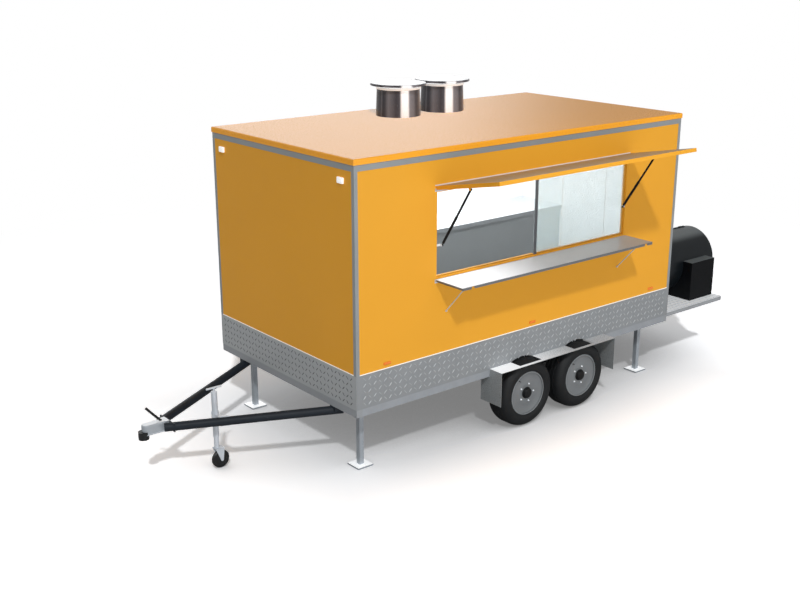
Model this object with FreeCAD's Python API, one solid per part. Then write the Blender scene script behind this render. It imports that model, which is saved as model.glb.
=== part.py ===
import FreeCAD
import Part
import math
import os

# Food trailer: box body on two close axles, A-frame drawbar, serving hatch and a rear porch smoker.
# While it is modelled, X runs back from the body's front face, Y away from the serving side, Z up.

# Body box
BODY_LENGTH = 4000.0
BODY_WIDTH = 2130.0
WALL = 45.0
CHASSIS_BOTTOM = 558.0
RAIL_HEIGHT = 66.0
RAIL_WIDTH = 60.0
FLOOR_THICKNESS = 21.0
WALL_HEIGHT = 2028.0
ROOF_THICKNESS = 48.0
ROOF_OVERHANG = 8.0
ROOF_EDGE_RADIUS = 10.0
BAND_HEIGHT = 51.0
KICK_HEIGHT = 297.0
POST_WIDTH = 33.0
SKIN = 2.0

# Chassis
CROSS_MEMBER_COUNT = 8
CROSS_MEMBER_WIDTH = 50.0
CHANNEL_WEB = 6.0
RUNNING_GAP = 12.0

# Wheels and axles
TYRE_RADIUS = 325.0
TYRE_WIDTH = 240.0
BEAD_RADIUS = 205.0
BEAD_GAP = 0.3
WHEEL_PROUD = 110.0
AXLE_MEAN_SHARE = 0.56375
AXLE_SPACING = 717.0
RIM_WALL = 6.0
RIM_FLANGE = 8.0
RIM_DISC_INSET = 34.0
RIM_DISC = 8.0
HUB_CAP_RADIUS = 55.0
HUB_CAP_DEPTH = 26.0
LUG_CIRCLE_RADIUS = 87.0
LUG_RADIUS = 9.0
LUG_COUNT = 5
LUG_DEPTH = 14.0
SPINDLE_RADIUS = 30.0
PIN_GAP = 0.3
AXLE_TUBE = 50.0
DRUM_RADIUS = 125.0
DRUM_DEPTH = 34.0
SPRING_WIDTH = 50.0
SPRING_LEAF = 8.0
SPRING_LEAVES = 4
SPRING_SPAN = 600.0
SPRING_DROP = 62.0
EYE_RADIUS = 17.0
EYE_BOLT_RADIUS = 8.0

# Fenders and wheel boxes
FENDER_PROUD = 155.0
FENDER_TOP = 632.0
FENDER_BOTTOM = 307.0
FENDER_SHEET = 3.0
FENDER_FRONT_GAP = 76.5
FENDER_REAR_GAP = 77.5
FENDER_REACH = 110.0
WHEEL_BOX_HEIGHT = 46.0
WHEEL_BOX_SHEET = 3.0

# Drawbar, coupling and jockey stand
DRAWBAR_RADIUS = 37.0
DRAWBAR_WALL = 5.0
DRAWBAR_NOSE = 1158.0
DRAWBAR_NOSE_HALF = 87.0
DRAWBAR_FOOT_HALF = 699.0
DRAWBAR_NOSE_HEIGHT = 474.0
DRAWBAR_FOOT_HEIGHT = 511.0
DRAWBAR_TUCK = 105.0
NOSE_PLATE = 10.0
COUPLING_LENGTH = 228.0
COUPLING_WIDTH = 81.0
COUPLING_TOP = 520.0
COUPLING_BOTTOM = 433.0
COUPLING_SHEET = 6.0
COUPLING_FLANGE = 12.0
COUPLING_LIP = 7.0
COUPLING_FOOT = 40.0
CUP_RADIUS = 44.0
CUP_TOP = 462.0
CUP_BOTTOM = 396.0
BALL_RADIUS = 25.0
BALL_GAP = 0.7
LEVER_RADIUS = 7.0
LEVER_REACH = 120.0
LEVER_RISE = 135.0
JOCKEY_REACH = 785.0
JOCKEY_OFFSET = 125.0
JOCKEY_TUBE_RADIUS = 25.0
JOCKEY_TUBE_WALL = 3.0
JOCKEY_TUBE_TOP = 703.0
JOCKEY_TUBE_BOTTOM = 290.0
JOCKEY_WHEEL_RADIUS = 80.0
JOCKEY_WHEEL_WIDTH = 46.0
JOCKEY_TRAIL = 30.0
JOCKEY_FORK_SHEET = 6.0
JOCKEY_FORK_HEIGHT = 183.0
JOCKEY_AXLE_RADIUS = 7.0
JOCKEY_WIND_UP = 90.0
T_HANDLE_LENGTH = 142.0
T_HANDLE_RADIUS = 9.0
T_HANDLE_HEIGHT = 735.0
CLAMP_HEIGHT = 80.0
CLAMP_WALL = 6.0

# Drop legs
LEG_SIZE = 45.0
LEG_INSET_X = 197.0
LEG_INSET_Y = 222.0
LEG_REAR_INSET = 177.0
PAD_SIZE = 158.0
PAD_THICKNESS = 14.0
LEG_PIVOT_DROP = 85.0
LEG_EAR = 8.0
LEG_EAR_WIDTH = 60.0
LEG_PIN_RADIUS = 8.0

# Serving window
WINDOW_FRONT = 850.0
WINDOW_REAR = 3233.0
WINDOW_SILL = 1603.0
WINDOW_HEAD = 2336.0
MULLION_WIDTH = 30.0
MULLION_PLACE = 2041.0
TRACK_DEPTH = 26.0
TRACK_FACE = 10.0
GLASS = 5.0

# Serving hatch and its gas struts
HATCH_SIDE_LAP = 25.0
HATCH_THICKNESS = 34.0
HATCH_LENGTH = 756.0
HATCH_TILT = 11.4
HATCH_BORDER = 40.0
HATCH_SKIN = 8.0
HINGE_KNUCKLE_RADIUS = 8.0
HINGE_PIN_RADIUS = 4.0
HINGE_PIN_GAP = 0.3
HINGE_LEAF = 3.0
HINGE_LEAF_WIDTH = 24.0
HINGE_RISE = 22.0
HINGE_STEP = 120.0
KNUCKLE_GAP = 0.5
STRUT_INSET = 50.0
STRUT_FOOT_HEIGHT = 1880.0
STRUT_TUBE_RADIUS = 9.5
STRUT_TUBE_WALL = 3.0
STRUT_TUBE_LENGTH = 310.0
STRUT_TRAVEL = 275.0
STRUT_HEAD_DROP = 20.0
STRUT_FOOT_PROUD = 10.0
STRUT_ROD_RADIUS = 5.0
STRUT_HEAD_PLACE = 341.0
STRUT_EYE_RADIUS = 9.0
STRUT_EYE_HALF = 7.0
STRUT_STUD_RADIUS = 4.0
BRACKET_SHEET = 4.0

# Serving shelf and its stays
SHELF_TOP = 1593.0
SHELF_DEPTH = 330.0
SHELF_SIDE_LAP = 10.0
SHELF_LIP = 18.0
SHELF_SHEET = 3.0
SHELF_BACK_GAP = 16.0
STAY_INSET = 100.0
STAY_RADIUS = 5.0
STAY_FOOT_HEIGHT = 1293.0
STAY_FOOT_GAP = 12.0
STAY_HEAD_REACH = 276.0
STAY_EAR_RADIUS = 7.0
STAY_NOTCH = 14.0

# Entry door in the rear wall
DOOR_NEAR = 870.0
DOOR_WIDTH = 600.0
DOOR_SILL = 660.0
DOOR_HEAD = 2480.0
DOOR_GAP = 6.0
DOOR_HINGE_SHARES = (0.2, 0.52, 0.84)
DOOR_HINGE_LENGTH = 90.0

# Counter inside
COUNTER_FRONT = 300.0
COUNTER_EDGE = 1480.0
COUNTER_HEIGHT = 889.0
COUNTER_TOP_THICKNESS = 40.0
COUNTER_OVERHANG = 20.0
COUNTER_PLINTH = 90.0
COUNTER_SHEET = 15.0

# Roof vents
VENT_PLACES = (1775.0, 2333.0)
VENT_FROM_SIDE = 1651.0
VENT_BASE_RADIUS = 217.0
VENT_TOP_RADIUS = 207.0
VENT_HEIGHT = 265.0
VENT_SHEET = 4.0
VENT_GAP = 24.0
VENT_CAP_RADIUS = 270.0
VENT_CAP_THICKNESS = 21.0
VENT_STAY_RADIUS = 8.0
VENT_STAY_COUNT = 3

# Lamps
FRONT_LAMP_WIDTH = 110.0
FRONT_LAMP_HEIGHT = 50.0
FRONT_LAMP_DEPTH = 20.0
FRONT_LAMP_INSET = 165.0
FRONT_LAMP_CENTRE = 2515.0
SIDE_LAMP_WIDTH = 75.0
SIDE_LAMP_HEIGHT = 22.0
SIDE_LAMP_DEPTH = 10.0
SIDE_LAMP_CENTRE = 968.0
SIDE_LAMP_FRONT_INSET = 318.0
SIDE_LAMP_MIDDLE_SHARE = 0.504
SIDE_LAMP_REAR_INSET = 300.0
TAIL_LAMP_WIDTH = 60.0
TAIL_LAMP_HEIGHT = 150.0
TAIL_LAMP_INSET = 150.0
TAIL_LAMP_CENTRE = 1060.0

# Rear porch and smoker
PORCH_LENGTH = 930.0
PORCH_FRAME = 42.0
PORCH_FRAME_WIDTH = 40.0
PORCH_PLATE = 20.0
RIB_COUNT = 40
RIB_RISE = 4.0
BARREL_OVERHANG = 100.0
BARREL_LENGTH = 900.0
BARREL_FROM_SIDE = 529.0
BARREL_RISE = 351.0
BARREL_RADIUS = 312.0
BARREL_SHEET = 6.0
SADDLE_THICKNESS = 40.0
SADDLE_INSET = 110.0
LID_REAR_INSET = 50.0
LID_LENGTH = 540.0
LID_ARC = 92.0
LID_START = 8.0
LID_LAP = 14.0
LID_SHEET = 5.0
LID_HANDLE_RADIUS = 9.0
LID_HANDLE_STAND = 45.0
GRATE_BARS = 9
GRATE_BAR_RADIUS = 5.0
GRATE_DROP = 60.0
FIREBOX_LENGTH = 385.0
FIREBOX_REAR_INSET = 30.0
FIREBOX_NEAR = 105.0
FIREBOX_DEPTH = 330.0
FIREBOX_OVER_AXIS = 64.0
FIREBOX_SHEET = 6.0
FIREBOX_DOOR_NEAR = 22.0
FIREBOX_DOOR_WIDTH = 96.0
FIREBOX_DOOR_LOW = 45.0
FIREBOX_DOOR_HEIGHT = 215.0
FIREBOX_DOOR_SHEET = 6.0
FIREBOX_DOOR_LAP = 8.0

CUT = 5.0

# Levels and places worked out from the sizes above
RAIL_TOP = CHASSIS_BOTTOM + RAIL_HEIGHT
FLOOR_TOP = RAIL_TOP + FLOOR_THICKNESS
WALL_TOP = RAIL_TOP + WALL_HEIGHT
ROOF_TOP = WALL_TOP + ROOF_THICKNESS
KICK_TOP = RAIL_TOP + KICK_HEIGHT
MIDDLE = BODY_WIDTH / 2
INSIDE_REAR = BODY_LENGTH - WALL
INSIDE_FAR = BODY_WIDTH - WALL
WHEEL_MIDDLE = TYRE_WIDTH / 2 - WHEEL_PROUD
WHEEL_INNER = TYRE_WIDTH - WHEEL_PROUD
AXLE_MEAN = BODY_LENGTH * AXLE_MEAN_SHARE
AXLE_PLACES = (AXLE_MEAN - AXLE_SPACING / 2, AXLE_MEAN + AXLE_SPACING / 2)
FENDER_FRONT = AXLE_PLACES[0] - TYRE_RADIUS - FENDER_FRONT_GAP
FENDER_REAR = AXLE_PLACES[1] + TYRE_RADIUS + FENDER_REAR_GAP
WELL_RADIUS = TYRE_RADIUS + RUNNING_GAP
MAIN_RAIL_NEAR = WHEEL_INNER + DRUM_DEPTH + RUNNING_GAP
HATCH_FRONT = WINDOW_FRONT - HATCH_SIDE_LAP
HATCH_REAR = WINDOW_REAR + HATCH_SIDE_LAP
HINGE_Y = -(HINGE_KNUCKLE_RADIUS + HINGE_LEAF + KNUCKLE_GAP)
HINGE_Z = WINDOW_HEAD + HINGE_RISE
SHELF_FRONT = WINDOW_FRONT - SHELF_SIDE_LAP - SHELF_SIDE_LAP
SHELF_REAR = WINDOW_REAR + SHELF_SIDE_LAP
SHELF_HINGE_Y = -SHELF_BACK_GAP
SHELF_HINGE_Z = SHELF_TOP - HINGE_KNUCKLE_RADIUS - HINGE_LEAF
STRUT_PLACES = (WINDOW_FRONT + STRUT_INSET, WINDOW_REAR - STRUT_INSET)
STAY_PLACES = (WINDOW_FRONT + STAY_INSET, WINDOW_REAR - STAY_INSET + SHELF_LIP)
DOOR_FAR = DOOR_NEAR + DOOR_WIDTH
DOOR_HINGE_X = BODY_LENGTH + SKIN + HINGE_KNUCKLE_RADIUS + PIN_GAP
DOOR_HINGE_Y = DOOR_FAR + DOOR_GAP / 2
LEG_PIVOT_Z = CHASSIS_BOTTOM - LEG_PIVOT_DROP
LEG_PLACES = (LEG_INSET_X, BODY_LENGTH - LEG_REAR_INSET)
DECK_TOP = FLOOR_TOP
BARREL_HEIGHT = DECK_TOP + BARREL_RISE
FIREBOX_TOP = BARREL_HEIGHT + FIREBOX_OVER_AXIS
PORCH_REAR = BODY_LENGTH + PORCH_LENGTH
BARREL_REAR = PORCH_REAR + BARREL_OVERHANG
FIREBOX_REAR = PORCH_REAR - FIREBOX_REAR_INSET
FIREBOX_FRONT = FIREBOX_REAR - FIREBOX_LENGTH
SIDE_LAMP_PLACES = (SIDE_LAMP_FRONT_INSET, BODY_LENGTH * SIDE_LAMP_MIDDLE_SHARE,
                    BODY_LENGTH - SIDE_LAMP_REAR_INSET)
JOCKEY_Y = MIDDLE - JOCKEY_OFFSET
HUB_BACK = WHEEL_INNER


def vec(x, y, z):
    return FreeCAD.Vector(x, y, z)


ALONG_X = vec(1, 0, 0)
ALONG_Y = vec(0, 1, 0)


def box(x_low, x_high, y_low, y_high, z_low, z_high):
    corner = vec(x_low, y_low, z_low)
    return Part.makeBox(x_high - x_low, y_high - y_low, z_high - z_low, corner)


def rod(start, end, radius):
    run = end - start
    return Part.makeCylinder(radius, run.Length, start, run)


def tube(start, end, radius, wall):
    run = end - start
    outer = Part.makeCylinder(radius, run.Length, start, run)
    return outer.cut(Part.makeCylinder(radius - wall, run.Length, start, run))


def fuse(shapes):
    shapes = list(shapes)
    if len(shapes) == 1:
        return shapes[0]
    return shapes[0].multiFuse(shapes[1:]).removeSplitter()


def prism(points, run):
    wire = Part.makePolygon(points + [points[0]])
    return Part.Face(wire).extrude(run)


def ring(points, centre, axis):
    wire = Part.makePolygon(points + [points[0]])
    return Part.Face(wire).revolve(centre, axis, 360)


def moved(shape, x, y, z):
    copy = shape.copy()
    copy.translate(vec(x, y, z))
    return copy


def turned(shape, centre, axis, degrees):
    copy = shape.copy()
    copy.rotate(centre, axis, degrees)
    return copy


def across(shape):
    """The same shape on the other side of the trailer."""
    return shape.mirror(vec(0, MIDDLE, 0), ALONG_Y)


def both_sides(shapes):
    shapes = list(shapes)
    return shapes + [across(shape) for shape in shapes]


def chassis_rails():
    """Side rails, broken at the wheels, and the two main rails over the springs."""
    spans = ((RAIL_WIDTH, FENDER_FRONT), (FENDER_REAR, BODY_LENGTH - RAIL_WIDTH))
    side = [box(low, high, 0, RAIL_WIDTH, CHASSIS_BOTTOM, RAIL_TOP) for low, high in spans]
    main = box(RAIL_WIDTH, BODY_LENGTH - RAIL_WIDTH, MAIN_RAIL_NEAR, MAIN_RAIL_NEAR + RAIL_WIDTH,
               CHASSIS_BOTTOM, RAIL_TOP)
    return both_sides(side + [main])


def channel(x_middle, y_low, y_high):
    """Cross channel, open to the rear, as high as the rails."""
    low = x_middle - CROSS_MEMBER_WIDTH / 2
    high = x_middle + CROSS_MEMBER_WIDTH / 2
    whole = box(low, high, y_low, y_high, CHASSIS_BOTTOM, RAIL_TOP)
    hollow = box(low + CHANNEL_WEB, high + CUT, y_low - CUT, y_high + CUT,
                 CHASSIS_BOTTOM + CHANNEL_WEB, RAIL_TOP - CHANNEL_WEB)
    return whole.cut(hollow)


def cross_members():
    """End rails, cross channels between the main rails and outriggers to the side rails."""
    ends = [box(0, RAIL_WIDTH, 0, BODY_WIDTH, CHASSIS_BOTTOM, RAIL_TOP),
            box(BODY_LENGTH - RAIL_WIDTH, BODY_LENGTH, 0, BODY_WIDTH, CHASSIS_BOTTOM, RAIL_TOP)]
    inner_edge = MAIN_RAIL_NEAR + RAIL_WIDTH
    pitch = BODY_LENGTH / (CROSS_MEMBER_COUNT - 1)
    places = [pitch * index for index in range(1, CROSS_MEMBER_COUNT - 1)]
    middles = [channel(place, inner_edge, BODY_WIDTH - inner_edge) for place in places]
    outer = [channel(place, RAIL_WIDTH, MAIN_RAIL_NEAR) for place in places
             if not FENDER_FRONT < place + CROSS_MEMBER_WIDTH < FENDER_REAR + CROSS_MEMBER_WIDTH]
    return ends + middles + both_sides(outer)


def axle_tubes():
    """Square axle tube with round spindles and the brake drums' back plates."""
    axles = []
    half = AXLE_TUBE / 2
    back = HUB_BACK + RUNNING_GAP
    for place in AXLE_PLACES:
        beam = box(place - half, place + half, back + DRUM_DEPTH / 2, BODY_WIDTH - back - DRUM_DEPTH / 2,
                   TYRE_RADIUS - half, TYRE_RADIUS + half)
        ends = []
        for low, sign in ((back, -1), (BODY_WIDTH - back, 1)):
            inner = vec(place, low - sign * DRUM_DEPTH / 2, TYRE_RADIUS)
            ends.append(rod(inner, vec(place, low, TYRE_RADIUS), DRUM_RADIUS))
            tip = WHEEL_MIDDLE if sign < 0 else BODY_WIDTH - WHEEL_MIDDLE
            ends.append(rod(inner, vec(place, tip, TYRE_RADIUS), SPINDLE_RADIUS))
        axles.append(fuse([beam] + ends))
    return axles


def spring_middle():
    return MAIN_RAIL_NEAR + RAIL_WIDTH / 2


def leaf_springs():
    """Stepped leaf pack on each axle, its main leaf rising to an eye at both ends."""
    springs = []
    seat = TYRE_RADIUS + AXLE_TUBE / 2
    low_y = spring_middle() - SPRING_WIDTH / 2
    width = vec(0, SPRING_WIDTH, 0)
    for place in AXLE_PLACES:
        half = SPRING_SPAN / 2
        leaves = []
        for index in range(SPRING_LEAVES):
            reach = half * (SPRING_LEAVES - index) / SPRING_LEAVES
            low = seat + SPRING_LEAF * (SPRING_LEAVES - 1 - index)
            rise = SPRING_DROP * (reach / half) ** 2
            top = [vec(place - reach, low_y, low + rise + SPRING_LEAF), vec(place, low_y, low + SPRING_LEAF),
                   vec(place + reach, low_y, low + rise + SPRING_LEAF)]
            under = [vec(place + reach, low_y, low + rise), vec(place, low_y, low),
                     vec(place - reach, low_y, low + rise)]
            edges = [Part.Arc(*top).toShape(), Part.makeLine(top[2], under[0]),
                     Part.Arc(*under).toShape(), Part.makeLine(under[2], top[0])]
            leaves.append(Part.Face(Part.Wire(edges)).extrude(width))
        eye_z = spring_eye_z()
        for reach in (-half, half):
            leaves.append(rod(vec(place + reach, low_y, eye_z), vec(place + reach, low_y, eye_z) + width,
                              EYE_RADIUS))
        clamp = box(place - AXLE_TUBE / 2, place + AXLE_TUBE / 2, low_y, low_y + SPRING_WIDTH,
                    seat, seat + SPRING_LEAF * (SPRING_LEAVES + 1))
        pack = fuse(leaves + [clamp])
        for reach in (-half, half):
            start = vec(place + reach, low_y - CUT, eye_z)
            end = start + vec(0, SPRING_WIDTH + CUT + CUT, 0)
            pack = pack.cut(rod(start, end, EYE_BOLT_RADIUS + PIN_GAP))
        springs.append(pack)
    return both_sides(springs)


def spring_eye_z():
    main_leaf_low = TYRE_RADIUS + AXLE_TUBE / 2 + SPRING_LEAF * (SPRING_LEAVES - 1)
    return main_leaf_low + SPRING_DROP + SPRING_LEAF / 2 + EYE_RADIUS - SPRING_LEAF / 2


def spring_hangers():
    """Forked hangers under the main rails, each with the bolt through its spring eye."""
    hangers = []
    eye_z = spring_eye_z()
    half = SPRING_SPAN / 2
    low_y = spring_middle() - SPRING_WIDTH / 2 - PIN_GAP
    high_y = spring_middle() + SPRING_WIDTH / 2 + PIN_GAP
    for axle in AXLE_PLACES:
        for reach in (-half, half):
            place = axle + reach
            plates = []
            for low in (low_y - CHANNEL_WEB, high_y):
                plate = box(place - EYE_RADIUS, place + EYE_RADIUS, low, low + CHANNEL_WEB,
                            eye_z, CHASSIS_BOTTOM)
                boss = rod(vec(place, low, eye_z), vec(place, low + CHANNEL_WEB, eye_z), EYE_RADIUS)
                plates += [plate, boss]
            bridge = box(place - EYE_RADIUS, place + EYE_RADIUS, low_y - CHANNEL_WEB, high_y + CHANNEL_WEB,
                         CHASSIS_BOTTOM - CHANNEL_WEB, CHASSIS_BOTTOM)
            bolt = rod(vec(place, low_y - CHANNEL_WEB - EYE_BOLT_RADIUS, eye_z),
                       vec(place, high_y + CHANNEL_WEB + EYE_BOLT_RADIUS, eye_z), EYE_BOLT_RADIUS)
            hangers.append(fuse(plates + [bridge, bolt]))
    return both_sides(hangers)


def tyre(place):
    """Plain tyre section turned about the wheel's axis: beads, sidewalls, shoulders and tread."""
    half = TYRE_WIDTH / 2
    wall_radius = BEAD_RADIUS + (TYRE_RADIUS - BEAD_RADIUS) * 0.48
    shoulder_radius = TYRE_RADIUS - (TYRE_RADIUS - BEAD_RADIUS) * 0.15
    side = [(BEAD_RADIUS, half * 0.80), (wall_radius, half), (shoulder_radius, half * 0.88),
            (TYRE_RADIUS, half * 0.60)]
    section = side + [(radius, -width) for radius, width in reversed(side)]
    points = [vec(place, WHEEL_MIDDLE + width, TYRE_RADIUS + radius) for radius, width in section]
    return ring(points, vec(place, WHEEL_MIDDLE, TYRE_RADIUS), ALONG_Y)


def rim(place):
    """Disc wheel: flanged barrel, flat disc, hub on the spindle, hub cap and wheel nuts."""
    outer = BEAD_RADIUS - BEAD_GAP
    inner = outer - RIM_WALL
    lip = BEAD_RADIUS + RIM_WALL
    half = TYRE_WIDTH * 0.42
    face = WHEEL_MIDDLE - TYRE_WIDTH / 2 + RIM_DISC_INSET
    centre = vec(place, 0, TYRE_RADIUS)
    near = WHEEL_MIDDLE - half - RIM_FLANGE
    far = WHEEL_MIDDLE + half + RIM_FLANGE
    section = [(near, inner), (near, lip), (near + RIM_FLANGE - BEAD_GAP, lip),
               (near + RIM_FLANGE - BEAD_GAP, outer), (far - RIM_FLANGE + BEAD_GAP, outer),
               (far - RIM_FLANGE + BEAD_GAP, lip), (far, lip), (far, inner)]
    barrel = ring([vec(place, y, TYRE_RADIUS + radius) for y, radius in section], centre, ALONG_Y)
    disc = rod(vec(place, face, TYRE_RADIUS), vec(place, face + RIM_DISC, TYRE_RADIUS), inner + RIM_WALL / 2)
    hub_end = WHEEL_MIDDLE + TYRE_WIDTH / 4
    hub = rod(vec(place, face, TYRE_RADIUS), vec(place, hub_end, TYRE_RADIUS), HUB_CAP_RADIUS)
    cap = Part.makeCone(HUB_CAP_RADIUS, HUB_CAP_RADIUS * 0.8, HUB_CAP_DEPTH,
                        vec(place, face, TYRE_RADIUS), -ALONG_Y)
    nuts = []
    for index in range(LUG_COUNT):
        angle = 2 * math.pi * index / LUG_COUNT
        spot = vec(place + LUG_CIRCLE_RADIUS * math.cos(angle), face,
                   TYRE_RADIUS + LUG_CIRCLE_RADIUS * math.sin(angle))
        nuts.append(rod(spot, spot - vec(0, LUG_DEPTH, 0), LUG_RADIUS))
    wheel = fuse([barrel, disc, hub, cap] + nuts)
    bearing = rod(vec(place, WHEEL_MIDDLE - PIN_GAP, TYRE_RADIUS), vec(place, hub_end + CUT, TYRE_RADIUS),
                  SPINDLE_RADIUS + PIN_GAP)
    return wheel.cut(bearing)


def fender():
    """Folded sheet over a pair of tyres: two end plates and a top slotted for the crowns."""
    low_y = -FENDER_PROUD
    ends = []
    for low in (FENDER_FRONT, FENDER_REAR - FENDER_SHEET):
        high = low + FENDER_SHEET
        outer = box(low, high, low_y, -SKIN, FENDER_BOTTOM, FENDER_TOP)
        inner = box(low, high, -SKIN, FENDER_REACH, FENDER_BOTTOM, CHASSIS_BOTTOM)
        ends += [outer, inner]
    top = box(FENDER_FRONT, FENDER_REAR, low_y, -SKIN, FENDER_TOP - FENDER_SHEET, FENDER_TOP)
    return fuse(ends + [top]).cut(crown_space(low_y + FENDER_SHEET))


def crown_space(near):
    """Room for both tyres to turn, from a given side as far as the wheel box."""
    half = TYRE_WIDTH / 2 + RUNNING_GAP
    start = max(near, WHEEL_MIDDLE - half)
    wells = [rod(vec(place, start, TYRE_RADIUS), vec(place, WHEEL_MIDDLE + half, TYRE_RADIUS), WELL_RADIUS)
             for place in AXLE_PLACES]
    return fuse(wells)


def wheel_box():
    """Sheet box in the cabin that covers the tyres where they rise past the floor."""
    low = FENDER_FRONT
    high = FENDER_REAR
    top = FLOOR_TOP + WHEEL_BOX_HEIGHT
    inner = MAIN_RAIL_NEAR - PIN_GAP
    outside = box(low, high, WALL, inner, RAIL_TOP, top)
    inside = box(low + WHEEL_BOX_SHEET, high - WHEEL_BOX_SHEET, WALL - CUT, inner - WHEEL_BOX_SHEET,
                 RAIL_TOP - CUT, top - WHEEL_BOX_SHEET)
    return outside.cut(inside)


def well_cutout():
    """What the floor leaves open for a wheel box."""
    return box(FENDER_FRONT, FENDER_REAR, -CUT, MAIN_RAIL_NEAR - PIN_GAP, RAIL_TOP - CUT, FLOOR_TOP + CUT)


def drawbar():
    """Two tubes from under the chassis to the nose, joined by the nose plate."""
    tubes = []
    for sign in (-1, 1):
        nose = vec(-DRAWBAR_NOSE, MIDDLE + sign * DRAWBAR_NOSE_HALF, DRAWBAR_NOSE_HEIGHT)
        foot = vec(0, MIDDLE + sign * DRAWBAR_FOOT_HALF, DRAWBAR_FOOT_HEIGHT)
        run = (foot - nose) / (foot - nose).Length
        end = foot + run * DRAWBAR_TUCK
        tubes.append(tube(nose, end, DRAWBAR_RADIUS, DRAWBAR_WALL))
        saddle = box(0, DRAWBAR_TUCK * 0.8, foot.y + sign * DRAWBAR_TUCK / 4 - DRAWBAR_RADIUS,
                     foot.y + sign * DRAWBAR_TUCK / 4 + DRAWBAR_RADIUS, foot.z, CHASSIS_BOTTOM)
        tubes.append(saddle.cut(rod(nose, end + run * DRAWBAR_TUCK, DRAWBAR_RADIUS - DRAWBAR_WALL / 2)))
    half = DRAWBAR_NOSE_HALF + DRAWBAR_RADIUS
    plate = box(-DRAWBAR_NOSE - NOSE_PLATE, -DRAWBAR_NOSE, MIDDLE - half, MIDDLE + half,
                DRAWBAR_NOSE_HEIGHT - DRAWBAR_RADIUS, DRAWBAR_NOSE_HEIGHT + DRAWBAR_RADIUS)
    return fuse(tubes + [plate])


def round_nosed(front, rear, half, low, high):
    """Block along the trailer's middle whose front end is a half circle in plan."""
    turn = front + half
    near = MIDDLE - half
    far = MIDDLE + half
    edges = [Part.makeLine(vec(rear, near, low), vec(turn, near, low)),
             Part.Arc(vec(turn, near, low), vec(front, MIDDLE, low), vec(turn, far, low)).toShape(),
             Part.makeLine(vec(turn, far, low), vec(rear, far, low)),
             Part.makeLine(vec(rear, far, low), vec(rear, near, low))]
    return Part.Face(Part.Wire(edges)).extrude(vec(0, 0, high - low))


def coupling_head():
    """Pressed channel with a round nose and folded lower edges, bolted to the nose plate."""
    rear = -DRAWBAR_NOSE - NOSE_PLATE
    front = rear - COUPLING_LENGTH
    half = COUPLING_WIDTH / 2
    shell = round_nosed(front, rear, half, COUPLING_BOTTOM, COUPLING_TOP)
    corners = [edge for edge in shell.Edges
               if edge.BoundBox.ZMin > COUPLING_TOP - CUT and edge.BoundBox.XMin < rear - CUT]
    shell = shell.makeFillet(COUPLING_FLANGE, corners)
    lip = round_nosed(front - COUPLING_LIP, rear, half + COUPLING_LIP, COUPLING_BOTTOM,
                      COUPLING_BOTTOM + COUPLING_SHEET)
    foot = box(rear - COUPLING_FOOT, rear, MIDDLE - half - COUPLING_LIP, MIDDLE + half + COUPLING_LIP,
               COUPLING_TOP - COUPLING_SHEET, COUPLING_TOP)
    hollow = round_nosed(front + COUPLING_SHEET, rear + CUT, half - COUPLING_SHEET,
                         COUPLING_BOTTOM - CUT, COUPLING_TOP - COUPLING_SHEET)
    end = box(rear - COUPLING_SHEET, rear, MIDDLE - half, MIDDLE + half,
              COUPLING_BOTTOM, COUPLING_TOP - COUPLING_SHEET)
    return fuse([fuse([shell, lip, foot]).cut(hollow), end])


def cup_middle():
    """Where along the trailer the ball's centre lies, just ahead of the coupling's nose."""
    return -DRAWBAR_NOSE - NOSE_PLATE - COUPLING_LENGTH + COUPLING_FLANGE


def ball_cup():
    """Round cup below the coupling's nose with a socket that opens downwards."""
    low = vec(cup_middle(), MIDDLE, CUP_BOTTOM)
    outside = Part.makeCylinder(CUP_RADIUS, CUP_TOP - CUP_BOTTOM, low)
    socket = Part.makeCylinder(BALL_RADIUS + BALL_GAP, BALL_RADIUS * 1.4, low - vec(0, 0, CUT))
    return outside.cut(socket).cut(coupling_head())


def coupling_lever():
    """Release lever rising forwards from the coupling's top."""
    foot = vec(-DRAWBAR_NOSE - NOSE_PLATE - COUPLING_LENGTH * 0.26, MIDDLE, COUPLING_TOP)
    tip = foot + vec(-LEVER_REACH, 0, LEVER_RISE)
    pad = Part.makeCylinder(LEVER_RADIUS * 1.8, LEVER_RADIUS, foot)
    arm = rod(foot + vec(0, 0, LEVER_RADIUS / 2), tip, LEVER_RADIUS)
    below = box(foot.x - COUPLING_LENGTH, foot.x + COUPLING_LENGTH, MIDDLE - CUP_RADIUS,
                MIDDLE + CUP_RADIUS, COUPLING_BOTTOM, COUPLING_TOP)
    return fuse([pad, arm]).cut(below)


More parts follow.
